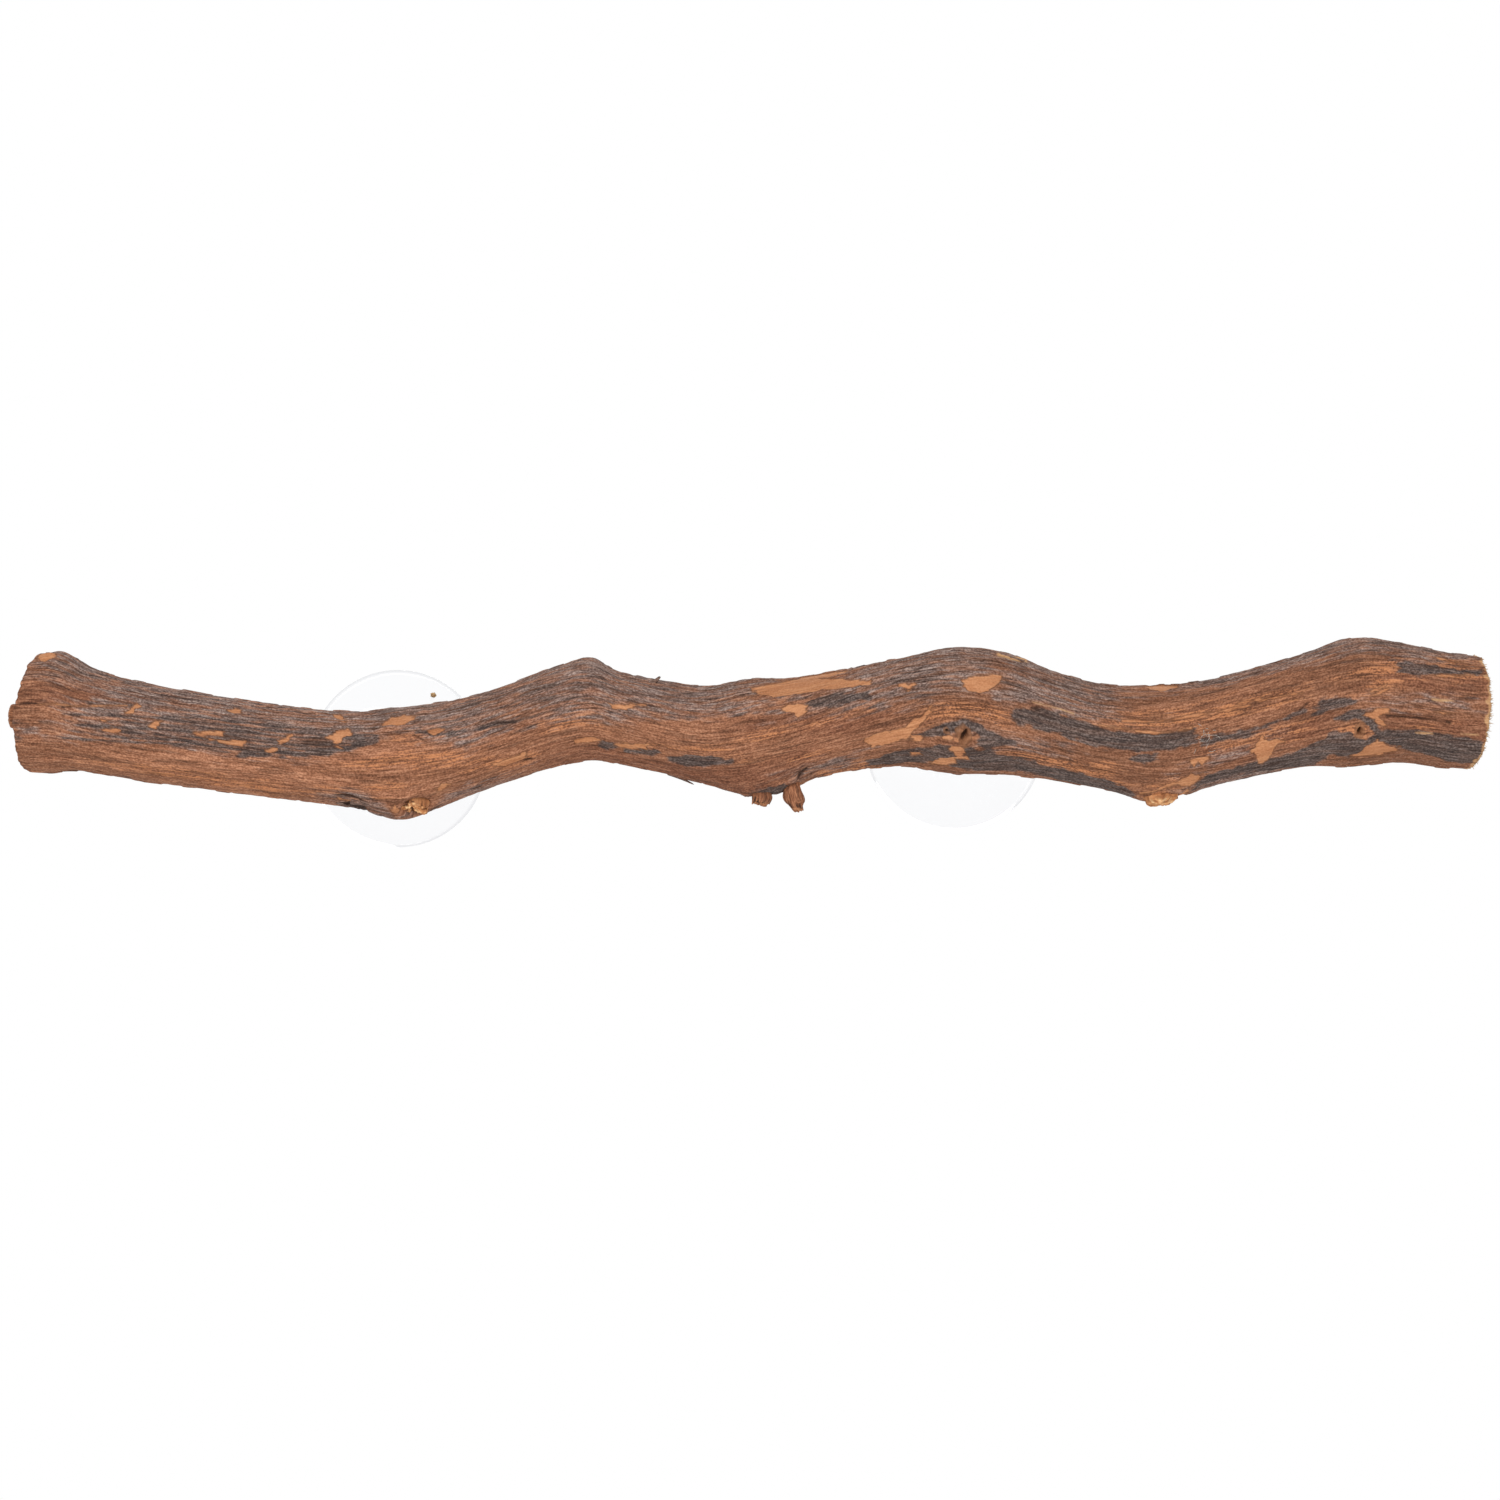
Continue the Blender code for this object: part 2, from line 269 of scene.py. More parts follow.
LAYER_FORMS = {
    Layer.BARE: LayerForm(
        0.85 * MM, 0.20 * MM, -0.32 * MM, Streak(14 * MM, 5 * MM, 21), 0.58, 7 * MM, chipped=0.45 * MM
    ),
    Layer.CHAR: LayerForm(
        0.9 * MM, 0.30 * MM, -0.12 * MM, Streak(55 * MM, 6 * MM, 22), 0.34, 7 * MM, chipped=0.45 * MM
    ),
    Layer.GREY: LayerForm(4 * MM, 2.2 * MM, 0.05 * MM, Streak(70 * MM, 9 * MM, 23), 0.10, 9 * MM, open=0.25),
    Layer.RUST: LayerForm(
        2.4 * MM, 1.4 * MM, -0.08 * MM, Streak(45 * MM, 4 * MM, 24), 0.22, 6 * MM, open=0.25
    ),
    Layer.RED: LayerForm(3.0 * MM, 2.0 * MM, 0.0, Streak(60 * MM, 8 * MM, 25), 0.15, 8 * MM, open=0.25),
    Layer.STRAW: LayerForm(0.50 * MM, 0.20 * MM, 0.06 * MM, Streak(16 * MM, 0.7 * MM, 27), 0.80, 2 * MM),
    Layer.CRACK: LayerForm(0.4 * MM, 0.25 * MM, -0.55 * MM, Streak(20 * MM, 1.2 * MM, 26), 0.72, 2 * MM),
}

# The left band's dark lines: pixel columns, rows of its top and foot, and each line's share between them
BAND_ROWS = (
    (106, 711, 738), (200, 717, 745), (250, 723, 752), (300, 728, 757), (340, 733, 752), (378, 735, 742),
)
BAND_SHARES = (0.03, 0.19, 0.34, 0.47, 0.60, 0.74, 0.86, 0.96)
BAND_LINE_HALF = 1.1
BAND_LINE_RAGGED = 0.3
# Lines start up to three steps before or after the band's left end, in pixel columns
BAND_START_STEP = 14
BAND_START_BEFORE = 200


def marks(layer: Layer, **patches: tuple) -> tuple[Mark, ...]:
    """Marks of one layer, each from its name, its raggedness and its edges."""
    return tuple(Mark(name, layer, tuple(edges), ragged) for name, (ragged, *edges) in patches.items())


def band_line(number: int, share: float) -> Mark:
    """One thin dark line of the left band, a little longer or shorter than the next.

    Args:
        number: its place in the row of lines.
        share: where it runs, from 0 at the band's top to 1 at its foot.

    Returns:
        The line's mark.
    """
    shift = BAND_START_STEP * (number * 5 % 7 - 3)
    edges = []
    for column, top, foot in BAND_ROWS:
        row = top + share * (foot - top)
        place = column + shift * (column < BAND_START_BEFORE)
        edges.append((place, row - BAND_LINE_HALF, row + BAND_LINE_HALF))
    return Mark(f"band_line_{number}", Layer.CHAR, tuple(edges), BAND_LINE_RAGGED)


# Bare tan wood where the bark has flaked off
BARE_MARKS = marks(
    Layer.BARE,
    end_twig_scar=(0.4, (41, 656, 657.5), (45, 653.5, 659.5), (51, 653, 660), (56, 655, 657.5)),
    left_triangle=(1, (130, 710, 713), (135, 704, 712), (138, 702, 709), (143, 705, 707)),
    left_dot=(1, (151, 724, 727), (156, 720, 729), (163, 721, 725)),
    left_fleck_high=(1, (104, 719, 721), (112, 719, 721)),
    left_fleck_low=(1, (108, 729, 732), (113, 728, 734), (118, 730, 733)),
    band_fleck_top=(1, (229, 711, 712), (236, 709, 714), (244, 711, 713)),
    band_patch_left=(1, (199, 732, 735), (210, 731, 737), (222, 733, 736)),
    band_patch_right=(1, (213, 738, 740), (224, 740, 743), (236, 741, 747), (245, 741, 748)),
    band_splinter=(1, (281, 741, 744), (288, 735, 741), (294, 733, 736)),
    band_fleck_low=(1, (267, 749, 752), (274, 749, 753)),
    splash=(1, (325, 737, 740), (333, 734, 741), (341, 731, 744), (348, 728, 734)),
    splash_tail=(1, (335, 740, 746), (339, 740, 747)),
    splash_above=(1, (336, 715, 718), (341, 715, 722), (346, 720, 724)),
    long_patch=(1, (384, 722, 726), (392, 717, 725), (404, 715, 724), (416, 716, 719)),
    patch_after=(1, (429, 730, 733), (436, 728, 734), (443, 729, 731)),
    knot_lobe=(0.5, (392, 796, 798), (396, 793.5, 799), (400, 795, 798)),
    flake_by_knot=(1, (437, 785, 788), (442, 781, 787), (447, 781, 783)),
    elbow_fleck=(1, (575, 741, 744), (587, 738, 744), (598, 740, 743)),
    elbow_sliver=(1, (494, 763, 766), (505, 759, 766), (515, 756, 763), (525, 754, 757)),
    end_thread=(0.4, (40, 703.3, 704.7), (80, 704.2, 705.8), (128, 704.6, 706.4)),
    flake_light=(0.6, (340, 797, 799), (352, 798, 800.5), (366, 801, 803)),
    elbow_tip=(1, (592, 659.4, 662), (600, 660.3, 664), (606, 665, 667)),
    elbow_strip=(1, (616, 741, 746), (630, 743, 749), (645, 745, 749)),
    top_dashes=(1, (612, 705, 708), (630, 703, 709), (646, 704, 707)),
    big_patch=(
        1, (754, 686, 690), (763, 684, 694), (776, 681, 695), (800, 677, 693), (831, 677, 689),
        (853, 679, 685), (869, 681, 685),
    ),
    top_strip=(1, (800, 676.3, 678), (825, 672.2, 676), (846, 669.4, 671.4)),
    round_spot=(1, (785, 706, 710), (791, 704, 713), (798, 703, 718), (806, 706, 714)),
    slanting_patch=(
        1, (867, 739, 744), (874, 735, 747), (890, 734, 744), (905, 728, 740), (911, 722, 736),
        (918, 719, 730), (924, 714, 720), (931, 705, 713),
    ),
    oval_patch=(
        0.5, (964, 677, 684), (968, 673.5, 688), (978, 672, 690), (988, 671.5, 689), (996, 672, 684),
        (1000, 673, 678),
    ),
    torn_fleck=(1, (900, 683, 686), (908, 684, 689), (916, 683, 687)),
    brown_fleck=(1, (914, 738, 742), (919, 737, 743), (923, 739, 742)),
    under_eye_left=(1, (943, 740, 743), (952, 740, 744)),
    under_eye=(1, (953, 749, 755), (960, 749, 763), (965, 754, 762)),
    under_eye_low=(1, (932, 764, 766), (942, 760, 767), (955, 762, 766)),
    lower_fleck=(1, (912, 754, 757), (919, 754, 757)),
    top_edge_right=(1, (1143, 685.4, 687.5), (1157, 684.4, 690.5), (1174, 685.2, 687.2)),
    callus_border=(0.7, (1140, 788.6, 790.4), (1165, 782.2, 784.2), (1190, 775, 777)),
    long_line=(0.6, (1122, 719, 721.6), (1160, 718.4, 721), (1200, 712.6, 715.2), (1250, 703.6, 706)),
    long_line_far=(0.6, (1238, 701.4, 704), (1275, 696, 698.6), (1304, 691.4, 693.8)),
    band_edge_line=(0.6, (1098, 723.4, 726), (1130, 729.4, 732), (1160, 731, 733.2), (1190, 726.6, 729)),
    right_dash_top=(1, (1437, 657.4, 658.8), (1445, 658, 661.2), (1452, 660, 663.6), (1462, 661.6, 662.8)),
    right_dash_high=(0.7, (1431, 674, 675), (1450, 674.2, 676.6), (1474, 673, 675)),
    right_dash_low=(0.7, (1436, 711.4, 712.4), (1444, 711.6, 714.2), (1453, 713, 714)),
    star_fleck=(
        0.5, (1190, 760, 764), (1194, 758.6, 766), (1197.5, 757.4, 761.6), (1202, 757, 766),
        (1207, 756.6, 760),
    ),
    star_patch=(
        0.8, (1254, 745, 753), (1257, 742, 757), (1260.5, 735, 764), (1264, 739, 764), (1268, 742, 760),
        (1272, 740.5, 756), (1276, 739, 746), (1282, 741, 743),
    ),
    callus_tip=(1, (1182, 777, 783), (1190, 773, 784), (1199, 774, 780)),
    callus_rim=(1, (1144, 800, 812), (1155, 799, 812), (1170, 796, 812), (1186, 786, 800)),
    eye_curl=(1, (1368, 715, 719), (1374, 711, 722), (1380, 709, 719), (1386, 709, 713)),
    eye_curl_foot=(1, (1375, 717, 723), (1379, 718, 727), (1383, 722, 726)),
    low_right_patch=(1, (1355, 757, 759), (1366, 749, 758), (1377, 743, 757), (1397, 749, 753)),
    orange_hatch=(0.6, (1371, 690, 692), (1380, 685, 688), (1389, 681.5, 683)),
    orange_hatch_low=(0.6, (1373, 694, 695.5), (1383, 688.8, 692.4), (1394, 683.4, 685.4)),
)
# Pale straw-coloured slips
STRAW_MARKS = marks(
    Layer.STRAW,
    straw_line=(0.35, (1033, 701, 702.2), (1050, 706, 707.2), (1072, 713, 714)),
    right_dash_middle=(0.6, (1434, 699.2, 700), (1442, 699, 701.4), (1453, 700.2, 701)),
    right_dash_plate=(0.4, (1463, 733.8, 734.3), (1470, 733.6, 735), (1478, 734.6, 735.1)),
    plate_dash=(0.4, (1417, 733.4, 733.9), (1424, 733.1, 734.6), (1431, 733.6, 734.1)),
    upper_edge_slip=(0.6, (998, 652.5, 655), (1010, 656.2, 659), (1025, 660, 662)),
)
# Orange fibres that show between the bark's ridges
RUST_MARKS = marks(
    Layer.RUST,
    thread_lump=(0.6, (1191, 724, 737), (1198, 722, 739), (1205, 727, 738)),
    left_rim_low=(1, (95, 759, 763), (140, 763, 772), (200, 772, 782), (250, 780, 790)),
    left_underside=(1, (230, 780, 790), (300, 786, 796), (380, 780, 795), (400, 778, 786)),
    left_belly=(1, (350, 762, 768), (390, 753, 770), (430, 748, 768), (470, 750, 765)),
    left_shoulder=(1, (395, 730, 740), (410, 729, 744), (425, 735, 746)),
    elbow_orange=(1, (445, 760, 768), (494, 757, 768), (524, 754, 765)),
    elbow_inner=(1, (520, 725, 731), (560, 712, 730), (600, 712, 728)),
    middle_orange=(1, (660, 745, 750), (690, 747, 753), (726, 746, 755)),
    rising_orange=(1, (712, 698, 703), (735, 694, 701), (762, 688, 697)),
    fibres_left=(0.4, (742, 736, 742), (760, 731, 740), (776, 727, 737), (792, 724, 730)),
    fibres_middle=(0.4, (806, 720, 728), (825, 716, 725), (840, 713, 721), (852, 712, 717)),
    fibres_right=(0.4, (846, 708, 714), (862, 706, 712), (881, 705, 709)),
    fibres_low=(1, (740, 756, 764), (757, 757, 763)),
    fibres_small=(1, (802, 753, 759), (815, 752, 757)),
    ledge_strip=(1, (800, 772, 781), (830, 765, 778), (850, 760, 774), (885, 757, 770)),
    brown_middle=(1, (930, 706, 730), (960, 698, 716), (990, 700, 722), (1008, 715, 735)),
    callus_face=(1, (1142, 784, 806), (1165, 778, 806), (1185, 775, 800), (1196, 775, 786)),
    low_orange=(1, (1002, 743, 757), (1022, 746, 759), (1062, 757, 770), (1110, 764, 780)),
    tan_band=(1, (1098, 719, 726), (1120, 717, 730), (1150, 719, 731), (1194, 719, 729)),
    tan_band_above=(1, (1118, 708, 714), (1160, 710, 717), (1210, 702, 716)),
    far_orange=(1, (1205, 706, 720), (1240, 699, 714), (1290, 690, 703)),
    far_orange_low=(1, (1215, 740, 752), (1250, 737, 750), (1300, 724, 740)),
    hatch_tint=(1, (1362, 688, 693), (1378, 678, 694), (1398, 675, 687)),
    right_orange=(1, (1350, 668, 676), (1378, 660, 676), (1406, 654, 669)),
    right_orange_top=(1, (1436, 656, 666), (1455, 658, 670), (1474, 660, 669)),
    right_orange_mid=(1, (1440, 674, 680), (1470, 674, 680), (1482, 673, 679)),
    right_red_spot=(1, (1420, 723, 729), (1434, 723, 729)),
    eye_rim=(0.4, (1343, 729, 736), (1351, 724, 741), (1360, 723, 743), (1368, 728, 738)),
    eye_collar=(
        0.3, (951, 738, 741), (956, 733, 746), (962, 729, 749), (968, 729, 748), (973, 735, 743),
        (977, 738, 740),
    ),
)
# Weathered grey skin
GREY_MARKS = marks(
    Layer.GREY,
    grey_line=(1, (1204, 762, 773), (1220, 754, 763), (1234, 750, 758), (1252, 745, 751)),
    low_right_grey=(0.5, (1190, 784, 800), (1219, 772, 795), (1253, 764, 788), (1292, 755, 776)),
    ledge_grey=(1, (801, 767, 775), (825, 761, 769), (848, 756, 763)),
    left_band=(
        1, (84, 704, 736), (110, 690, 737), (150, 660, 740), (200, 660, 748), (260, 660, 757),
        (310, 660, 757), (346, 660, 750), (375, 660, 738), (403, 660, 731), (430, 660, 738),
        (470, 660, 748), (495, 672, 736), (520, 660, 728),
    ),
    end_streak=(1, (24, 729, 736), (60, 729, 736), (90, 728, 737)),
    end_top=(1, (36, 655, 672), (60, 640, 682), (100, 640, 692), (140, 650, 700)),
    elbow_top=(1, (500, 650, 706), (560, 630, 694), (610, 630, 706), (660, 640, 706), (770, 640, 690)),
    middle_streak=(1, (530, 695, 722), (600, 697, 722), (660, 699, 716), (720, 701, 715), (770, 700, 712)),
    shoulder_left=(1, (804, 694, 713), (830, 690, 714), (856, 686, 711), (882, 684, 706)),
    shoulder_top=(1, (838, 640, 692), (870, 630, 702), (905, 620, 700), (950, 620, 690), (1000, 620, 690)),
    shoulder_right=(1, (990, 620, 698), (1030, 630, 706), (1070, 650, 716), (1104, 660, 722)),
    top_right_edge=(1, (1180, 650, 690), (1240, 640, 680), (1310, 620, 662), (1370, 610, 650)),
    far_right_top=(1, (1340, 600, 650), (1400, 610, 660), (1440, 620, 659), (1484, 630, 660)),
    far_right_mid=(1, (1394, 698, 705), (1420, 697, 706), (1458, 699, 706)),
    knot_grey=(1, (432, 800, 815), (446, 793, 810), (470, 785, 800), (500, 777, 790)),
    low_middle=(1, (738, 788, 806), (760, 781, 806), (780, 777, 806), (794, 776, 806)),
    ragged_underside=(0.5, (330, 792, 812), (350, 788, 816), (386, 796, 826), (400, 804, 826)),
    eye_arch_grey=(1, (980, 727, 754), (1000, 733, 752), (1020, 738, 750), (1044, 744, 752)),
)
# Charcoal bark plates
CHAR_MARKS = marks(
    Layer.CHAR,
    eye_arch=(
        0.9, (1334, 718, 721), (1342, 714, 722), (1350, 712, 723), (1360, 711.5, 722), (1369, 714, 728),
        (1378, 721, 737),
    ),
    band_rim_middle=(1.8, (240, 748, 756), (300, 750, 758), (345, 744, 751), (372, 736, 740)),
    low_middle_dark=(1, (754, 782, 786), (770, 778, 789), (784, 776, 792), (794, 778, 785)),
    ragged_edge=(1, (350, 803, 809), (366, 804, 812), (386, 810, 817)),
    shoulder_dark=(1, (418, 730, 733), (445, 731, 737), (470, 728, 733), (512, 720, 723)),
    plate_one=(1, (598, 741, 748), (607, 741, 750), (616, 742, 748)),
    plate_two=(1, (626, 748, 752), (645, 747, 755), (657, 750, 756)),
    plate_three=(1, (668, 756, 761), (690, 755, 765), (710, 757, 765), (730, 759, 764)),
    shoulder_cracked=(1, (808, 699, 708), (840, 694, 706), (868, 690, 700)),
    charcoal_hollow=(
        1, (868, 761, 766), (896, 752, 765), (920, 750, 763), (940, 747, 764), (956, 749, 769),
        (975, 751, 771), (1000, 756, 771), (1046, 765, 776), (1083, 774, 785), (1119, 783, 793),
        (1134, 789, 796),
    ),
    eye_arch_dark=(
        1, (914, 736, 740), (930, 729, 738), (942, 724, 739), (952, 721, 733), (965, 719, 727),
        (976, 722, 736), (987, 728, 750),
    ),
    eye_arch_tail=(1, (978, 726, 753), (990, 733, 753), (1002, 738, 749), (1014, 742, 746)),
    dark_band=(
        1, (1013, 709, 722), (1030, 708, 727), (1041, 708, 730), (1060, 714, 735), (1080, 720, 742),
        (1101, 727, 747), (1130, 732, 751), (1150, 733, 752), (1175, 730, 748), (1194, 728, 743),
    ),
    band_tail=(1, (1202, 738, 746), (1215, 735, 743), (1240, 729, 738), (1268, 723, 729)),
    band_thread=(1, (1268, 722, 726), (1285, 716, 720), (1303, 708, 713)),
    dark_spot=(1, (1132, 756, 761), (1144, 753, 764), (1155, 754, 759)),
    low_right_strip=(
        1, (1196, 780, 786), (1219, 770, 779), (1253, 763, 772), (1283, 757, 768), (1310, 746, 767),
        (1331, 735, 757), (1350, 735, 759), (1365, 744, 756), (1374, 736, 748),
    ),
    right_plate=(
        1, (1374, 738, 744), (1388, 730, 745), (1412, 731, 752), (1437, 735, 757), (1460, 738, 763),
        (1484, 741, 765),
    ),
    purple_patch=(1, (1321, 699, 708), (1336, 697, 711), (1351, 697, 706)),
    purple_foot=(1, (1314, 708, 716), (1322, 706, 713), (1330, 706, 709)),
    right_top_dark=(
        1, (1399, 661, 670), (1418, 664, 675), (1436, 665, 674), (1450, 668, 674), (1482, 669, 675),
    ),
)
# Red-brown inner bark
RED_MARKS = marks(
    Layer.RED,
    end_red=(1, (30, 684, 702), (60, 682, 702), (110, 690, 704), (150, 700, 706)),
    elbow_red=(1, (552, 687, 694), (580, 687, 695), (640, 690, 698)),
    middle_red=(1, (560, 745, 772), (620, 752, 780), (700, 765, 795), (760, 760, 800), (800, 745, 775)),
    shoulder_red=(1, (740, 715, 735), (790, 712, 728), (850, 716, 735), (880, 712, 726)),
    right_red=(1, (1384, 719, 729), (1420, 718, 731), (1484, 722, 741)),
    right_red_top=(1, (1385, 668, 684), (1420, 676, 690), (1484, 676, 696)),
    far_red=(1, (1210, 752, 766), (1260, 740, 756), (1330, 716, 734)),
)
# Open cracks and shadowed edges
CRACK_MARKS = marks(
    Layer.CRACK,
    end_crack=(1, (64, 703.5, 705), (70, 703.5, 705)),
    end_crack_left=(1, (20, 701.5, 703), (36, 702, 703)),
    knot_flake_top=(0.6, (338, 794.2, 795.4), (350, 793.8, 795.2), (363, 796, 797.4)),
    # A painted shadow under the flakes by the knot, drawn as a crack
    knot_flake_low=(0.5, (338, 800.5, 803), (352, 800, 804), (366, 802, 806)),
    knot_flake_end=(1, (382, 805, 808), (388, 809, 811)),
    elbow_pit=(1, (525, 760, 762), (530, 758.5, 761), (534, 758.5, 760)),
    end_crack_high=(1, (24, 687, 688), (44, 688, 689)),
    flake_crack=(0.4, (414, 734, 735.4), (420, 737, 738.6), (424, 740, 741)),
    elbow_crack=(0.5, (476, 724, 725.2), (494, 722, 723.2), (513, 720.8, 722.4)),
    ledge_crack=(0.6, (799, 769, 774), (803, 767.5, 771), (809, 765, 766)),
    band_upper_crack=(1, (1032, 706, 709), (1038, 705, 711)),
    far_crack=(1, (1298, 710, 711.5), (1306, 703, 705)),
    right_crack=(1, (1388, 716, 718), (1420, 718, 720), (1450, 722, 724)),
    right_top_crack=(1, (1413, 671, 673), (1420, 672.5, 674.5)),
)
BAND_MARKS = tuple(band_line(number, share) for number, share in enumerate(BAND_SHARES))
MARKS = (
    *BARE_MARKS, *STRAW_MARKS, *RUST_MARKS, *GREY_MARKS, *CHAR_MARKS, *RED_MARKS, *CRACK_MARKS, *BAND_MARKS,
)

EYES = (
    Eye("hollow_eye", 964.0, 738.0, 7.2, 9.5, 2.2, 5.3, 0.45, 1.8 * MM, 0.5 * MM),
    Eye("blind_eye", 947.0, 733.0, 3.6, 3.0, 1.5, 1.4, 0.2, 0.35 * MM, 0.2 * MM),
    Eye("right_eye", 1359.0, 733.5, 5.4, 6.8, 1.7, 3.0, 0.3, 1.3 * MM, 0.4 * MM),
)

BUMPS = (
    Bump("twig_scar", 48.0, 655.0, 9.0, 6.0, 0.9 * MM),
    Bump("scar_beside", 66.0, 656.0, 10.0, 5.0, 0.55 * MM),
    Bump("knot_lobe", 396.0, 796.0, 6.0, 6.0, 0.7 * MM),
    Bump("knot_underside", 405.0, 815.0, 12.0, 5.0, 0.8 * MM),
    Bump("knot_lip", 429.0, 808.0, 8.0, 5.0, 0.7 * MM),
    Bump("elbow_crest", 592.0, 661.0, 14.0, 7.0, 0.5 * MM),
    Bump("thread_lump", 1198.0, 730.0, 6.0, 6.0, 0.6 * MM),
    Bump("right_hump", 1357.0, 640.0, 14.0, 5.0, 0.25 * MM),
)

PARTINGS = (
    *(Parting(eye.name, eye.column, eye.row, 0.45, 9 * MM, 6.0 * MM) for eye in EYES),
    Parting("left_knot", 415, 803, 1.2, 10 * MM, 6 * MM),
    Parting("middle_stubs", 762, 790, 1.1, 9 * MM, 5 * MM),
    Parting("right_knot", 1160, 792, 1.1, 9 * MM, 5 * MM),
)


@dataclass(frozen=True)
class Noise:
    """Smooth lattice noise from -1 to 1, the same on every run.

    Each lattice point gets a hashed value, and the eight around a place are blended with a quintic ease.
    """

    seed: int

    # Large odd numbers that scatter the lattice points' values
    AXIS_FACTORS = (374761393, 668265263, 2147483647)
    MIX_FACTOR = 1274126177
    SEED_FACTOR = 362437
    SEED_LIMIT = 4294967291
    TOP = 4294967295

    def _corner(self, *places: Array) -> Array:
        """Hash lattice points to values from -1 to 1.

        Args:
            places: whole lattice coordinates, axis by axis.

        Returns:
            One value for each lattice point.
        """
        mixed = np.uint32(self.seed * self.SEED_FACTOR % self.SEED_LIMIT)
        for place, factor in zip(places, self.AXIS_FACTORS):
            mixed = mixed + place.astype(np.uint32) * np.uint32(factor)
        mixed ^= mixed >> np.uint32(13)
        mixed *= np.uint32(self.MIX_FACTOR)
        mixed ^= mixed >> np.uint32(16)
        return mixed.astype(np.float32) * np.float32(2 / self.TOP) - np.float32(1)

    def at(self, x: Array, y: Array, z: Array | float) -> Array:
        """Evaluate the noise.

        Args:
            x, y, z: coordinates in lattice cells.

        Returns:
            Values from -1 to 1, in the shape of x.
        """
        axes = np.broadcast_arrays(x, y, z)
        cells = [np.floor(axis) for axis in axes]
        parts = [(axis - cell).astype(np.float32) for axis, cell in zip(axes, cells)]
        eased = [t * t * t * (t * (t * 6 - 15) + 10) for t in parts]
        whole = [cell.astype(np.int64) for cell in cells]
        total = np.zeros(axes[0].shape, np.float32)
        for corner in itertools.product((0, 1), repeat=3):
            weight = np.ones(total.shape, np.float32)
            for step, share in zip(corner, eased):
                weight = weight * (share if step else 1 - share)
            total += weight * self._corner(*(cell + step for cell, step in zip(whole, corner)))
        return total


def ease(value: Array, low: float, high: float) -> Array:
    """A value's smooth step, from 0 at low to 1 at high."""
    t = np.clip((value - low) / (high - low), 0, 1)
    return t * t * (3 - 2 * t)


def bell(value: Array, middle: float = 0.0, half: float = 1.0) -> Array:
    """A rounded peak of 1 at the middle, which falls off over the half width."""
    return np.exp(-(((value - middle) / half) ** 2))


def circle(count: int) -> Array:
    """Angles at even steps, once round."""
    return np.linspace(0, 2 * np.pi, count, endpoint=False)


def unit(vectors: Array) -> Array:
    """Vectors along the last axis, each brought to a length of 1."""
    return vectors / np.linalg.norm(vectors, axis=-1, keepdims=True)


def node_corners(node: str) -> Pair:
    """A node's lowest and highest corner."""
    low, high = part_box(node)
    return np.array(low), np.array(high)


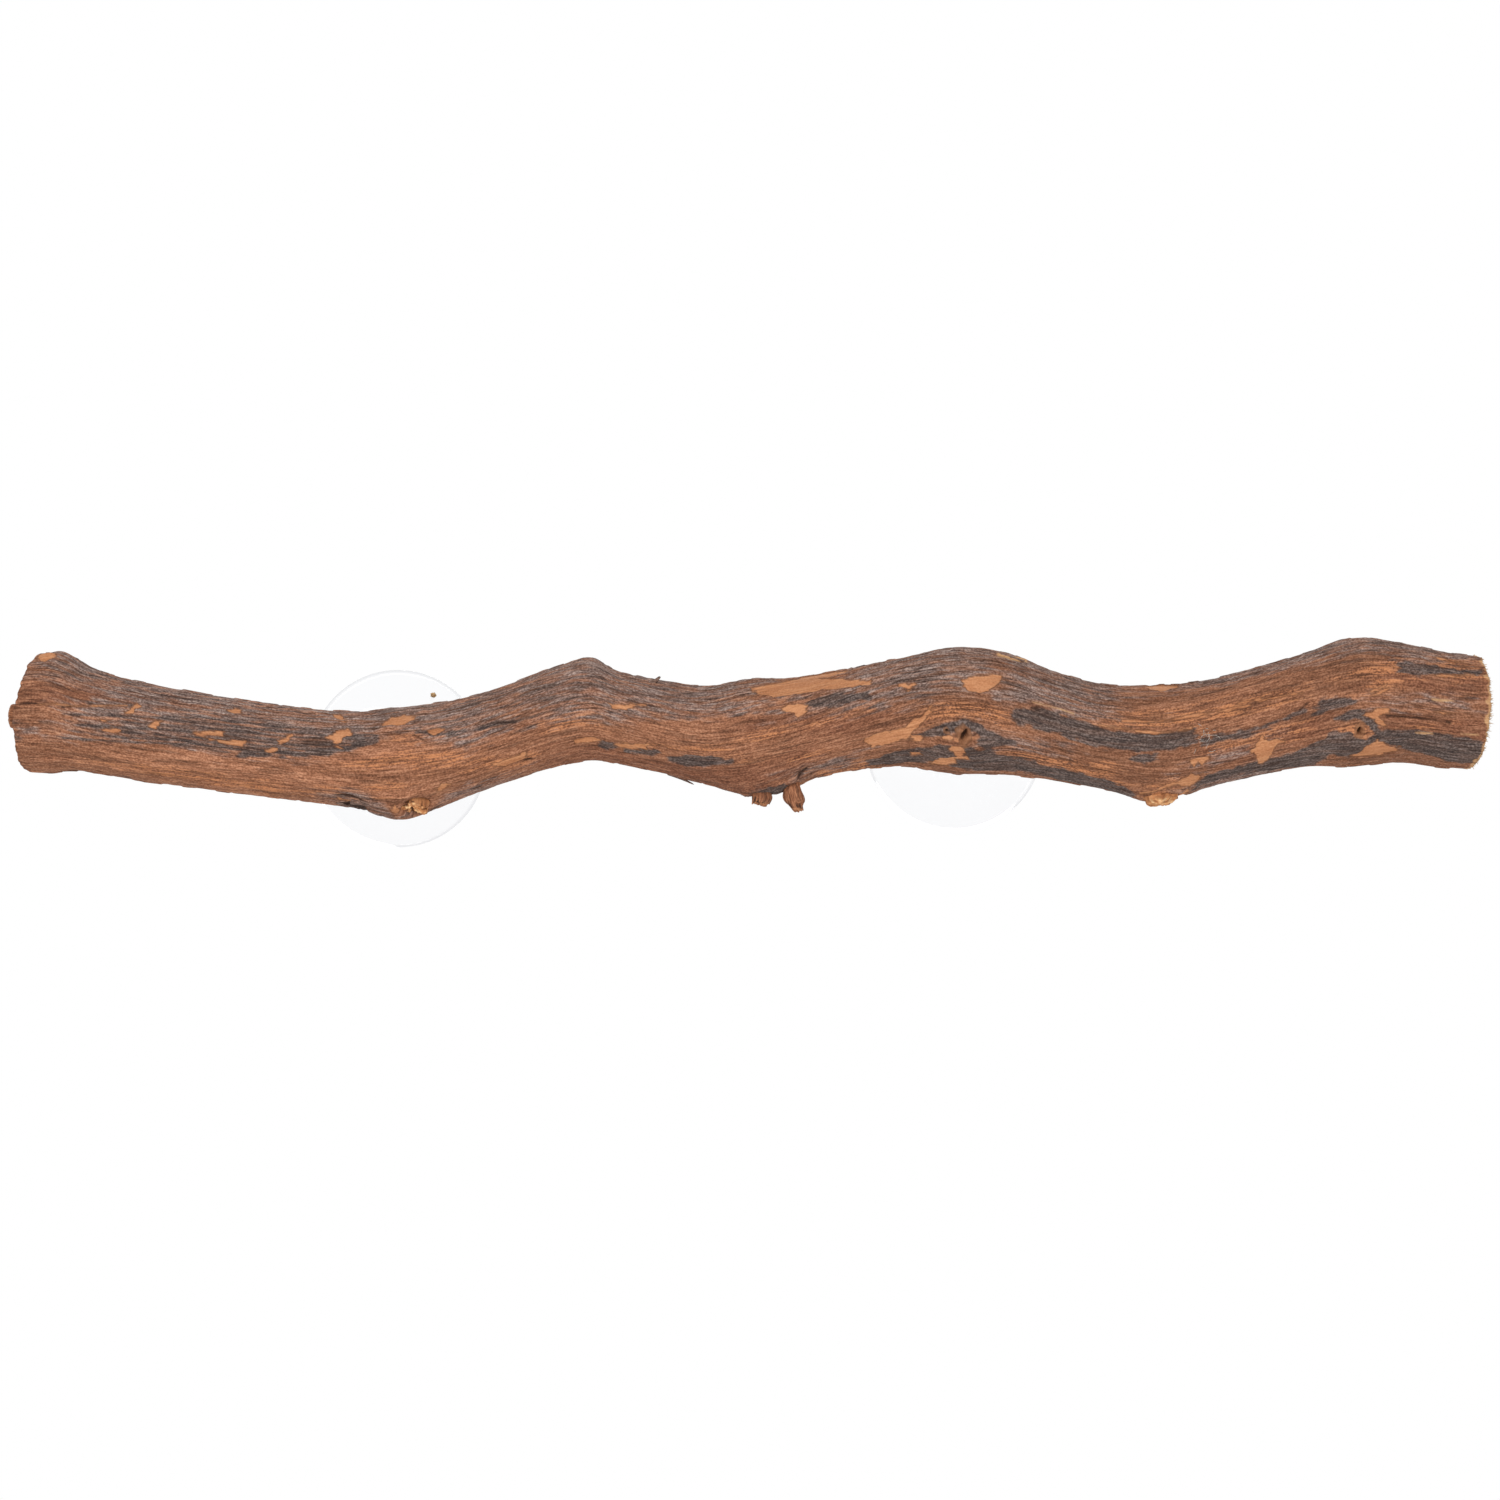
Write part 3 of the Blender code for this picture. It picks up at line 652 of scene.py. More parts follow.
@dataclass
class Stem:
    """The stem's form: slices along a bowed centre line, with swellings and two slanted cuts."""

    length: float = 388.1 * MM
    left: float = 171.0 * MM
    thickness: float = 28 * MM
    axis: float = -27.8 * MM
    bow_depth: float = 2.0 * MM
    bow_length: float = 260 * MM
    cut_reach: float = 22 * MM
    left_lean: float = 0.10
    left_turn: float = 0.28
    right_lean: float = 0.06
    right_turn: float = 0.16
    wrap_radius: float = 14 * MM

    def value(self, name: str, share: Array) -> Array:
        """A section's value in metres, on cubics with the slopes of the chords over neighbouring sections.

        Args:
            name: the Section field.
            share: shares of the stem's length.

        Returns:
            The values at those shares.
        """
        at = np.array([section.share for section in SECTIONS])
        held = np.array([getattr(section, name) for section in SECTIONS])
        last = len(at) - 1
        i = np.clip(np.searchsorted(at, share, side="right") - 1, 0, last - 1)
        before, after = np.maximum(i - 1, 0), np.minimum(i + 2, last)
        span = at[i + 1] - at[i]
        t = (share - at[i]) / span
        slope_start = (held[i + 1] - held[before]) / (at[i + 1] - at[before]) * span
        slope_end = (held[after] - held[i]) / (at[after] - at[i]) * span
        cubic = 2 * t**3 - 3 * t**2
        value = (1 + cubic) * held[i] - cubic * held[i + 1]
        value += (t**3 - 2 * t**2 + t) * slope_start + (t**3 - t**2) * slope_end
        return value * self.thickness

    def share_at(self, x: Array) -> Array:
        """The share of the length at a place along X."""
        return np.clip((x + self.left) / self.length, 0.0, 1.0)

    def middle(self, share: Array) -> Array:
        """The centre line: a slow wave in depth, at the height of the sections' middles.

        Args:
            share: shares of the length.

        Returns:
            Points with a last axis of x, y, z.
        """
        x = self.length * share - self.left
        bow = self.bow_depth * np.cos(2 * np.pi * x / self.bow_length)
        return np.stack([x, self.axis + bow, self.value("middle", share)], axis=-1)

    @staticmethod
    def outwards(angle: Array) -> Array:
        """The direction across the stem at an angle from the top, through the front."""
        return np.stack([np.zeros_like(angle), -np.sin(angle), np.cos(angle)], axis=-1)

    def radius(self, share: Array, angle: Array) -> Array:
        """Distance of the bark's mean surface from the centre line: an ellipse with the swellings added.

        Args:
            share: shares of the length.
            angle: angles round the stem.

        Returns:
            Radii in metres.
        """
        across = np.sin(angle) / self.value("half_depth", share)
        up = np.cos(angle) / self.value("half_height", share)
        radius = 1 / np.hypot(across, up)
        for bulge in SWELLINGS:
            along = (share - bulge.share) * self.length / (bulge.reach * self.thickness)
            turn = (np.mod(angle - bulge.angle + np.pi, 2 * np.pi) - np.pi) / bulge.spread
            radius = radius + bulge.rise * self.thickness * np.exp(-(along**2) - turn**2)
        return radius

    def leaving(self, share: float, angle: float) -> Pair:
        """The point where a line across the stem leaves the mean surface, and the line's direction."""
        out = self.outwards(np.array(angle))
        return self.middle(np.array(share)) + out * self.radius(np.array(share), np.array(angle)), out

    def points(self, share: Array, angle: Array, rise: Array) -> Array:
        """Points of the surface, raised over the mean surface, with the saw cuts' slants near the ends.

        Args:
            share: shares of the length.
            angle: angles round the stem.
            rise: how far out of the mean surface each point lies.

        Returns:
            Points with a last axis of x, y, z.
        """
        across = self.outwards(angle) * (self.radius(share, angle) + rise)[..., None]
        near_left = np.maximum(0.0, 1 - share * self.length / self.cut_reach)
        near_right = np.maximum(0.0, 1 - (1 - share) * self.length / self.cut_reach)
        slant = near_left * (self.left_lean * across[..., 2] + self.left_turn * across[..., 1])
        behind_front = self.value("half_depth", np.ones(1))[0] + across[..., 1]
        slant = slant + near_right * (self.right_lean * across[..., 2] - self.right_turn * behind_front)
        points = self.middle(share) + across
        points[..., 0] += slant
        return points

    def ring(self, around: Array) -> Pair:
        """Places on a round cylinder for distances round it, so that noise has no seam."""
        turn = around / self.wrap_radius
        return self.wrap_radius * np.cos(turn), self.wrap_radius * np.sin(turn)


@dataclass
class PhotoView:
    """The photograph's camera: level, straight at the stem, from far enough for almost no perspective."""

    stem: Stem
    frame_width: float = 404 * MM
    distance: float = 1.05
    centre_x: float = 20.4 * MM
    centre_z: float = 0.25 * MM
    pixels: int = 1500
    sensor: float = 36.0
    clip: Span = (0.05, 20.0)
    middle_row: float = 720.0
    passes: int = 3
    # How far a row outside the outline lies round towards the back, in radians for each half height
    over_edge: float = 2.0

    @property
    def pixel(self) -> float:
        """The size of a pixel on the stem's centre line."""
        return self.frame_width / self.pixels

    def add_camera(self) -> None:
        """Make the camera and give it to the scene."""
        lens = bpy.data.cameras.new("photo_camera")
        lens.sensor_width = self.sensor
        lens.lens = self.sensor * self.distance / self.frame_width
        lens.clip_start, lens.clip_end = self.clip
        camera = bpy.data.objects.new("photo_camera", lens)
        camera.location = (self.centre_x, self.stem.axis - self.distance, self.centre_z)
        camera.rotation_euler = (math.radians(90), 0.0, 0.0)
        bpy.context.scene.collection.objects.link(camera)
        bpy.context.scene.camera = camera

    def seen_at(self, column: Array, row: Array, near: Array | float) -> Pair:
        """Places along X and Z on pixels' rays, at a share of the way from the camera to the centre line."""
        x = self.centre_x + (column - self.pixels / 2) * self.pixel * near
        return x, self.centre_z + (self.pixels / 2 - row) * self.pixel * near

    def on_stem(self, column: Array, row: Array) -> Pair:
        """Where pixels fall on the stem.

        The height over the stem's middle gives the angle, and the angle gives the surface's depth, which each
        further pass uses to correct for perspective.

        Args:
            column: pixel columns.
            row: pixel rows.

        Returns:
            Places along X, and angles round the stem from the top through the front.
        """
        column, row = np.asarray(column, float), np.asarray(row, float)
        depth = np.zeros_like(column)
        for _ in range(self.passes):
            x, z = self.seen_at(column, row, 1 - depth / self.distance)
            share = self.stem.share_at(x)
            over = (z - self.stem.value("middle", share)) / self.stem.value("half_height", share)
            angle = np.arccos(np.clip(over, -1, 1))
            angle = angle - self.over_edge * (np.maximum(over - 1, 0) - np.maximum(-1 - over, 0))
            depth = self.stem.value("half_depth", share) * np.maximum(np.sin(angle), 0)
        return x, angle

    def around(self, column: Array, row: Array) -> Pair:
        """Where pixels fall on the stem, as places along X and distances round it, upwards from its front."""
        x, angle = self.on_stem(column, row)
        return x, (np.pi / 2 - angle) * self.stem.wrap_radius

    def along(self, x: Array, table: tuple[Span, ...]) -> Array:
        """Values at places along X, from a table of pixel columns and values."""
        column, held = np.array(table, float).T
        return np.interp(x, self.on_stem(column, np.full(column.shape, self.middle_row))[0], held)


def grid_faces(rows: int, columns: int, closed: bool = True) -> Array:
    """Quads between rows of points, where each row is a ring.

    Args:
        rows: number of rings.
        columns: number of points in a ring.
        closed: whether the first and the last ring are each drawn together into one point.

    Returns:
        An array of four indices for each face. A quad at a closed end repeats a corner.
    """
    r, c = np.meshgrid(np.arange(rows - 1), np.arange(columns), indexing="ij")
    n = (c + 1) % columns
    corners = [r * columns + c, r * columns + n, (r + 1) * columns + n, (r + 1) * columns + c]
    index = np.arange(rows * columns)
    if closed:
        index[:columns] = 0
        index[-columns:] = (rows - 1) * columns
    return index[np.stack(corners, axis=-1).reshape(-1, 4)]


def make_piece(
    name: str,
    points: Array,
    faces: Array,
    material: Material,
    attributes: dict[str, Array] | None = None,
    normals: Array | None = None,
) -> Object:
    """Put a surface into the scene as a smooth piece at the origin.

    Args:
        name: the piece's name.
        points: vertex positions, in any grid.
        faces: four vertex indices for each face. A corner given twice in a row makes a triangle.
        material: its finish.
        attributes: values or vectors of the vertices, by name, in grids like that of the points.
        normals: vertex normals, where they don't come from this piece's faces alone.

    Returns:
        The new object.
    """
    used, flat = np.unique(faces, return_inverse=True)
    corners = flat.reshape(faces.shape)
    apart = corners != np.roll(corners, -1, axis=1)
    counts = apart.sum(axis=1)
    grid = points.shape[:-1]
    mesh = bpy.data.meshes.new(name)
    mesh.vertices.add(len(used))
    mesh.vertices.foreach_set("co", points.reshape(-1, 3)[used].astype(np.float32).ravel())
    mesh.loops.add(int(counts.sum()))
    mesh.loops.foreach_set("vertex_index", corners[apart].astype(np.int32))
    mesh.polygons.add(len(faces))
    mesh.polygons.foreach_set("loop_start", np.concatenate([[0], np.cumsum(counts)[:-1]]).astype(np.int32))
    mesh.update(calc_edges=True)
    mesh.shade_smooth()
    for key, values in (attributes or {}).items():
        is_vector = values.ndim > len(grid)
        kind, part = ("FLOAT_VECTOR", "vector") if is_vector else ("FLOAT", "value")
        held = values.reshape((-1, 3) if is_vector else -1)[used].astype(np.float32)
        mesh.attributes.new(key, kind, "POINT").data.foreach_set(part, held.ravel())
    if normals is not None:
        mesh.normals_split_custom_set_from_vertices(normals.reshape(-1, 3)[used].astype(np.float32))
    mesh.materials.append(material)
    obj = bpy.data.objects.new(name, mesh)
    bpy.context.scene.collection.objects.link(obj)
    return obj


def strand_mesh(paths: Array, flat: Array, widths: Array, depths: Array, sides: int) -> Pair:
    """Tapered strands: an ellipse carried along each path, with its wide axis along a given direction.

    Args:
        paths: (strand, step, 3) points.
        flat: (strand, 3) directions of the wide axis.
        widths: (strand, step) half widths.
        depths: (strand, step) half thicknesses.
        sides: points round the ellipse.

    Returns:
        Vertices and quads of all the strands. The first and last rings are drawn to a point.
    """
    along = unit(np.gradient(paths, axis=1))
    wide = np.broadcast_to(flat[:, None, :], paths.shape)
    wide = unit(wide - along * (wide * along).sum(-1, keepdims=True))
    thin = np.cross(along, wide)
    turn = circle(sides)
    ring = wide[:, :, None] * (widths[:, :, None] * np.cos(turn))[..., None]
    ring = ring + thin[:, :, None] * (depths[:, :, None] * np.sin(turn))[..., None]
    ring[:, [0, -1]] = 0.0
    points = (paths[:, :, None] + ring).reshape(len(paths), -1, 3)
    faces = grid_faces(paths.shape[1], sides)
    steps = np.arange(len(paths))[:, None, None] * points.shape[1]
    return points.reshape(-1, 3), (faces[None] + steps).reshape(-1, 4)


@dataclass(frozen=True)
class Cloud:
    """A shader noise: its cells on each axis, its detail, its place and the span of it that is spread out."""

    scale: Triple
    detail: float = 1.0
    shift: float = 0.0
    span: Span | None = (0.32, 0.68)


class Nodes:
    """A short way to lay out shader nodes in one tree."""

    RELIEF = 0.5 * MM
    ROUGHNESS = 0.6
    SHARE, FIRST, SECOND, COLOUR_OUT = 0, 6, 7, 2

    def __init__(self, tree: NodeTree) -> None:
        """Start on a tree."""
        self.tree = tree

    def add(self, kind: str, links: dict[str | int, object] | None = None, **settings: object) -> Node:
        """Add a node.

        Args:
            kind: its Blender type.
            links: input sockets by name or place, each a value or another node's output socket.
            settings: properties of the node.

        Returns:
            The node.
        """
        node = self.tree.nodes.new(kind)
        for key, value in settings.items():
            setattr(node, key, value)
        self.feed(node, links or {})
        return node

    def feed(self, node: Node, links: dict[str | int, object]) -> None:
        """Link outputs to a node's inputs, or set the inputs' values.

        Args:
            node: the node.
            links: input sockets by name or place. A colour of three parts gets its alpha.
        """
        for key, value in links.items():
            socket = node.inputs[key]
            if isinstance(value, Socket):
                self.tree.links.new(value, socket)
            else:
                socket.default_value = (*value, 1.0) if socket.type == "RGBA" else value

    def attribute(self, name: str, vector: bool = False) -> Socket:
        """A value, or a vector, that the piece's vertices hold."""
        return self.add("ShaderNodeAttribute", attribute_name=name).outputs["Vector" if vector else "Fac"]

    def place(self) -> Socket:
        """The piece's Object coordinates."""
        return self.add("ShaderNodeTexCoord").outputs["Object"]

    def combine(self, *values: object) -> Socket:
        """A vector of up to three values."""
        return self.add("ShaderNodeCombineXYZ", dict(enumerate(values))).outputs[0]

    def math(self, operation: str, *values: object) -> Socket:
        """The result of a Math node."""
        return self.add("ShaderNodeMath", dict(enumerate(values)), operation=operation).outputs[0]

    def total(self, shares: Shares, *values: Socket) -> Socket:
        """A sum of values, each times its share."""
        first, *pairs = zip(values, shares)
        return reduce(lambda made, pair: self.math("MULTIPLY_ADD", *pair, made), pairs, self.product(*first))

    def product(self, *values: object) -> Socket:
        """The product of values."""
        return reduce(partial(self.math, "MULTIPLY"), values)

    def off_middle(self, value: Socket) -> Socket:
        """How far a noise lies from its middle value."""
        return self.math("ABSOLUTE", self.math("SUBTRACT", value, 0.5))

    def blend(self, share: object, first: object, second: object, kind: str = "MIX") -> Socket:
        """Two colours blended by a share."""
        links = {self.SHARE: share, self.FIRST: first, self.SECOND: second}
        return self.add("ShaderNodeMix", links, data_type="RGBA", blend_type=kind).outputs[self.COLOUR_OUT]

    def ramp(self, value: Socket, stops: Ramp) -> Socket:
        """Colours along a value.

        Args:
            value: the value.
            stops: places along it, each with its colour.

        Returns:
            The colour.
        """
        node = self.add("ShaderNodeValToRGB", {"Fac": value})
        elements = node.color_ramp.elements
        for element, (place, colour) in zip((elements[0], elements[1]), (stops[0], stops[-1])):
            element.position, element.color = place, (*colour, 1.0)
        for place, colour in stops[1:-1]:
            elements.new(place).color = (*colour, 1.0)
        return node.outputs["Color"]

    def rescale(self, value: Socket, span: Span, to: Span = (0.0, 1.0)) -> Socket:
        """A value mapped smoothly from one span to another."""
        links = {"Value": value, "From Min": span[0], "From Max": span[1], "To Min": to[0], "To Max": to[1]}
        return self.add("ShaderNodeMapRange", links, interpolation_type="SMOOTHSTEP").outputs["Result"]

    def noise(self, vector: Socket, cloud: Cloud) -> Socket:
        """Fractal noise on a vector that is stretched for each axis, and shifted to a fresh place.

        Args:
            vector: the vector.
            cloud: the noise's form.

        Returns:
            Values about 0.5, or from 0 to 1 where the cloud has a span.
        """
        stretch = {"Vector": vector, "Scale": cloud.scale, "Location": (cloud.shift,) * 3}
        place = self.add("ShaderNodeMapping", stretch).outputs[0]
        links = {"Vector": place, "Scale": 1.0, "Detail": cloud.detail, "Roughness": self.ROUGHNESS}
        value = self.add("ShaderNodeTexNoise", links).outputs["Fac"]
        return self.rescale(value, cloud.span) if cloud.span else value

    def finish(
        self, colour: Socket, rough: Socket, height: Socket, bump: float, plain: dict[str, float]
    ) -> None:
        """Feed the Principled shader.

        Args:
            colour: its colour.
            rough: its roughness.
            height: what its relief of up to half a millimetre follows.
            bump: the relief's strength.
            plain: further sockets that hold one value.
        """
        relief = self.add("ShaderNodeBump", {"Strength": bump, "Distance": self.RELIEF, "Height": height})
        links = {"Base Color": colour, "Roughness": rough, "Normal": relief.outputs[0]}
        self.feed(self.tree.nodes["Principled BSDF"], {**links, **plain})


def new_material(name: str) -> tuple[Material, Nodes]:
    """Start a material.

    Args:
        name: its name.

    Returns:
        The material and its node layout.
    """
    material = bpy.data.materials.new(name)
    material.use_nodes = True
    return material, Nodes(material.node_tree)


@dataclass(frozen=True)
class Grain:
    """The fibre grain that bark and wood share, as a node group.

    Its noises are stretched along the first axis of the Grain vector. Lines are the thin places where a noise
    passes through its middle value, broken up by a second noise.
    """

    grit: Cloud = Cloud((2.0, 1.05, 1.05))
    dash: Cloud = Cloud((0.36, 1.05, 1.05), shift=11.0)
    streak: Cloud = Cloud((0.10, 0.85, 0.85), shift=17.0)
    broad: Cloud = Cloud((0.035, 0.10, 0.10), 2.0, 31.0, (0.36, 0.64))
    line: Cloud = Cloud((0.06, 0.42, 0.42), shift=47.0, span=None)
    present: Cloud = Cloud((0.08, 0.25, 0.25), shift=59.0, span=(0.48, 0.60))
    line_edge: Span = (0.01, 0.08)
    fine_shares: Shares = (0.58, 0.42)
    height_shares: Shares = (0.5, 0.4, -0.5)

    def group(self) -> NodeTree:
        """Build the group.

        Returns:
            A group of the Grain vector and the fibre's Along and Across counts per metre, whose outputs Fine,
            Streak, Broad and Lines go from 0 to 1, and Height follows them.
        """
        group = bpy.data.node_groups.new("fibre_grain", "ShaderNodeTree")
        for name, kind in (("Grain", "Vector"), ("Along", "Float"), ("Across", "Float")):
            group.interface.new_socket(name, in_out="INPUT", socket_type=f"NodeSocket{kind}")
        for name in ("Fine", "Streak", "Broad", "Lines", "Height"):
            group.interface.new_socket(name, in_out="OUTPUT", socket_type="NodeSocketFloat")
        nodes = Nodes(group)
        given = nodes.add("NodeGroupInput").outputs
        counts = nodes.combine(given["Along"], given["Across"], given["Across"])
        scaled = nodes.add("ShaderNodeVectorMath", {0: given["Grain"], 1: counts}, operation="MULTIPLY")
        vector = scaled.outputs[0]
        fine = nodes.total(self.fine_shares, nodes.noise(vector, self.grit), nodes.noise(vector, self.dash))
        streak, broad = nodes.noise(vector, self.streak), nodes.noise(vector, self.broad)
        line = nodes.rescale(nodes.off_middle(nodes.noise(vector, self.line)), self.line_edge, (1.0, 0.0))
        lines = nodes.product(line, nodes.noise(vector, self.present))
        height = nodes.total(self.height_shares, fine, streak, lines)
        made = {"Fine": fine, "Streak": streak, "Broad": broad, "Lines": lines, "Height": height}
        nodes.add("NodeGroupOutput", made)
        return group


def place_grain(nodes: Nodes, grain: NodeTree, vector: Socket, counts: Span) -> NodeOutputs:
    """Place the fibre grain on a vector, with fibre counts per metre along it and across it."""
    links = {"Grain": vector, "Along": counts[0], "Across": counts[1]}
    return nodes.add("ShaderNodeGroup", links, node_tree=grain).outputs


# The middle part of a tone, over which roughness changes, and the low gloss of bark and wood
TONE_SPAN = (0.2, 0.8)
DULL = {"Specular IOR Level": 0.2}


@dataclass(frozen=True)
class BarkFinish:
    """Weathered bark: brown fibres, grey skin, charcoal plates, orange fibres, bare wood and dark cracks, with
    painted shadow round the bare patches and painted shade and highlight that follow the relief.
    """

    brown: Ramp = ((0.1, (0.138, 0.055, 0.029)), (0.5, (0.312, 0.133, 0.071)), (0.9, (0.530, 0.258, 0.150)))
    red: Ramp = ((0.1, (0.090, 0.032, 0.018)), (0.5, (0.205, 0.078, 0.042)), (0.9, (0.360, 0.155, 0.085)))
    rust: Ramp = ((0.1, (0.330, 0.118, 0.048)), (0.9, (0.620, 0.260, 0.115)))
    grey: Ramp = ((0.1, (0.066, 0.042, 0.036)), (0.5, (0.208, 0.137, 0.113)), (0.9, (0.470, 0.350, 0.305)))
    char: Ramp = ((0.1, (0.034, 0.024, 0.022)), (0.5, (0.092, 0.064, 0.055)), (0.9, (0.235, 0.176, 0.155)))
    bare: Ramp = ((0.1, (0.400, 0.160, 0.071)), (0.5, (0.525, 0.229, 0.106)), (0.9, (0.640, 0.305, 0.150)))
    straw: Ramp = ((0.1, (0.450, 0.225, 0.100)), (0.9, (0.680, 0.410, 0.210)))
    tint: Ramp = ((0.0, (0.86, 0.84, 0.82)), (1.0, (1.12, 1.11, 1.10)))
    # Colour of open cracks, and of the painted shadow along shadowed edges
    crack: Triple = (0.040, 0.020, 0.013)
    counts: Span = (850.0, 2400.0)
    roughness: Span = (0.92, 0.72)
    bump: float = 0.5
    patches: Cloud = Cloud((110.0, 1000.0, 1000.0), 2.0, 3.0, (0.36, 0.60))
    bark_shares: Shares = (0.66, 0.22, 0.12)
    wood_shares: Shares = (0.50, 0.32, 0.18)
    red_share: float = 0.7
    rust_streaks: Span = (0.30, 0.66)
    rust_grains: Span = (0.15, 0.55)
    # Gains and offsets that turn one value into the strength of another
    grey_by_patches: Span = (0.7, 0.3)
    char_by_patches: Span = (0.14, 0.86)
    lines_by_bare: Span = (-0.8, 1.0)
    lines_by_grey: Span = (0.25, 0.42)
    # Strength of the painted shadow along the edges of the bare patches
    bare_edge_shadow: float = 2.0
    crack_share: float = 0.92

    def material(self, grain: NodeTree) -> Material:
        """Build the material.

        Args:
            grain: the shared fibre group.

        Returns:
            The bark's material. It reads the vertices' grain vector, layer masks, lightness and fibre relief,
            which paints shade into the relief's low places and light onto its ridges.
        """
        material, nodes = new_material("bark")
        vector = nodes.attribute("grain", vector=True)
        fibres = place_grain(nodes, grain, vector, self.counts)
        fine, streak, broad = fibres["Fine"], fibres["Streak"], fibres["Broad"]
        bare, char, grey, rust, red, straw, crack = (nodes.attribute(layer.value) for layer in Layer)
        # Painted shade and highlight: the fibre value darkens the tone where the relief is low and lightens it
        # on the ridges
        tone = nodes.total(self.bark_shares, fine, streak, nodes.attribute("fibre"))
        wood = nodes.total(self.wood_shares, fine, streak, broad)
        patchy = nodes.noise(vector, self.patches)
        dashes = nodes.product(
            rust, nodes.rescale(streak, self.rust_streaks), nodes.rescale(fine, self.rust_grains)
        )
        skin = nodes.product(grey, nodes.math("MULTIPLY_ADD", patchy, *self.grey_by_patches))
        plates = nodes.product(char, nodes.math("MULTIPLY_ADD", patchy, *self.char_by_patches))

        colour = nodes.blend(1.0, nodes.ramp(tone, self.brown), nodes.ramp(broad, self.tint), "MULTIPLY")
        colour = nodes.blend(1.0, colour, nodes.attribute("light"), "MULTIPLY")
        for share, value, stops in (
            (nodes.product(red, self.red_share), tone, self.red),
            (dashes, tone, self.rust),
            (skin, tone, self.grey),
            (plates, tone, self.char),
            (bare, wood, self.bare),
            (straw, wood, self.straw),
        ):
            colour = nodes.blend(share, colour, nodes.ramp(value, stops))

        covered = nodes.math("MULTIPLY_ADD", bare, *self.lines_by_bare)
        drawn = nodes.math("MULTIPLY_ADD", grey, *self.lines_by_grey)
        # Painted shadow along the bare patches' edges, darkest where the mask is a half
        edge = nodes.product(bare, nodes.math("SUBTRACT", 1.0, bare), self.bare_edge_shadow)
        dark = nodes.math("MAXIMUM", nodes.product(fibres["Lines"], covered, drawn), edge)
        dark = nodes.math("MAXIMUM", dark, nodes.product(crack, self.crack_share))
        colour = nodes.blend(dark, colour, self.crack)
        rough = nodes.rescale(tone, TONE_SPAN, self.roughness)
        nodes.finish(colour, rough, fibres["Height"], self.bump, DULL)
        return material


@dataclass(frozen=True)
class WoodFinish:
    """Torn or sawn raw wood, with painted shade in its hollows and a bark-brown skin where the vertices say so.
    """

    name: str
    wood: Ramp
    skin: Ramp
    # Colour of the painted shade in the hollows, and of the fibre lines
    hollow: Triple
    counts: Span = (500.0, 2200.0)
    roughness: Span = (0.9, 0.7)
    tone_shares: Shares = (0.55, 0.45)
    line_share: float = 0.5
    bump: float = 0.6

    def material(self, grain: NodeTree) -> Material:
        """Build the material.

        Args:
            grain: the shared fibre group.

        Returns:
            A material that reads the vertices' grain vector, hollow value (painted shade in the torn end's
            recesses) and skin value.
        """
        material, nodes = new_material(self.name)
        fibres = place_grain(nodes, grain, nodes.attribute("grain", vector=True), self.counts)
        tone = nodes.total(self.tone_shares, fibres["Fine"], fibres["Streak"])
        skin = nodes.attribute("skin")
        colour = nodes.blend(skin, nodes.ramp(tone, self.wood), nodes.ramp(tone, self.skin))
        lines = nodes.product(fibres["Lines"], self.line_share)
        # The hollow value paints shade into the torn end's recesses, together with the fibre lines
        dark = nodes.math("MAXIMUM", nodes.attribute("hollow"), lines)
        colour = nodes.blend(dark, colour, self.hollow)
        rough = nodes.rescale(tone, TONE_SPAN, self.roughness)
        nodes.finish(colour, rough, fibres["Height"], self.bump, DULL)
        return material


# Each wood finish's hollow colour is the painted shade of its hollows and the colour of its fibre lines
GOLDEN = WoodFinish(
    "golden_fibres",
    wood=((0.1, (0.380, 0.140, 0.055)), (0.5, (0.680, 0.315, 0.130)), (0.9, (0.930, 0.600, 0.310))),
    skin=((0.1, (0.340, 0.132, 0.055)), (0.9, (0.600, 0.260, 0.110))),
    hollow=(0.120, 0.046, 0.020),
    counts=(500.0, 1300.0),
)
TORN = WoodFinish(
    "torn_bark",
    wood=((0.1, (0.260, 0.100, 0.045)), (0.5, (0.410, 0.170, 0.079)), (0.92, (0.580, 0.285, 0.140))),
    skin=((0.1, (0.130, 0.050, 0.026)), (0.5, (0.280, 0.110, 0.055)), (0.92, (0.460, 0.200, 0.102))),
    hollow=(0.060, 0.027, 0.016),
)
SLIVER = WoodFinish(
    "sliver_bark",
    wood=((0.1, (0.250, 0.120, 0.070)), (0.92, (0.400, 0.220, 0.130))),
    skin=((0.1, (0.085, 0.052, 0.042)), (0.5, (0.165, 0.098, 0.074)), (0.92, (0.300, 0.190, 0.145))),
    hollow=(0.060, 0.034, 0.025),
)
STRAW = WoodFinish(
    "straw_fibres",
    wood=((0.1, (0.400, 0.230, 0.110)), (0.92, (0.680, 0.450, 0.230))),
    skin=((0.1, (0.300, 0.150, 0.070)), (0.92, (0.500, 0.300, 0.150))),
    hollow=(0.200, 0.110, 0.050),
)
THREAD = WoodFinish(
    "pale_threads",
    wood=((0.1, (0.520, 0.470, 0.410)), (0.92, (0.720, 0.690, 0.640))),
    skin=((0.1, (0.520, 0.470, 0.410)), (0.92, (0.720, 0.690, 0.640))),
    hollow=(0.400, 0.360, 0.300),
)


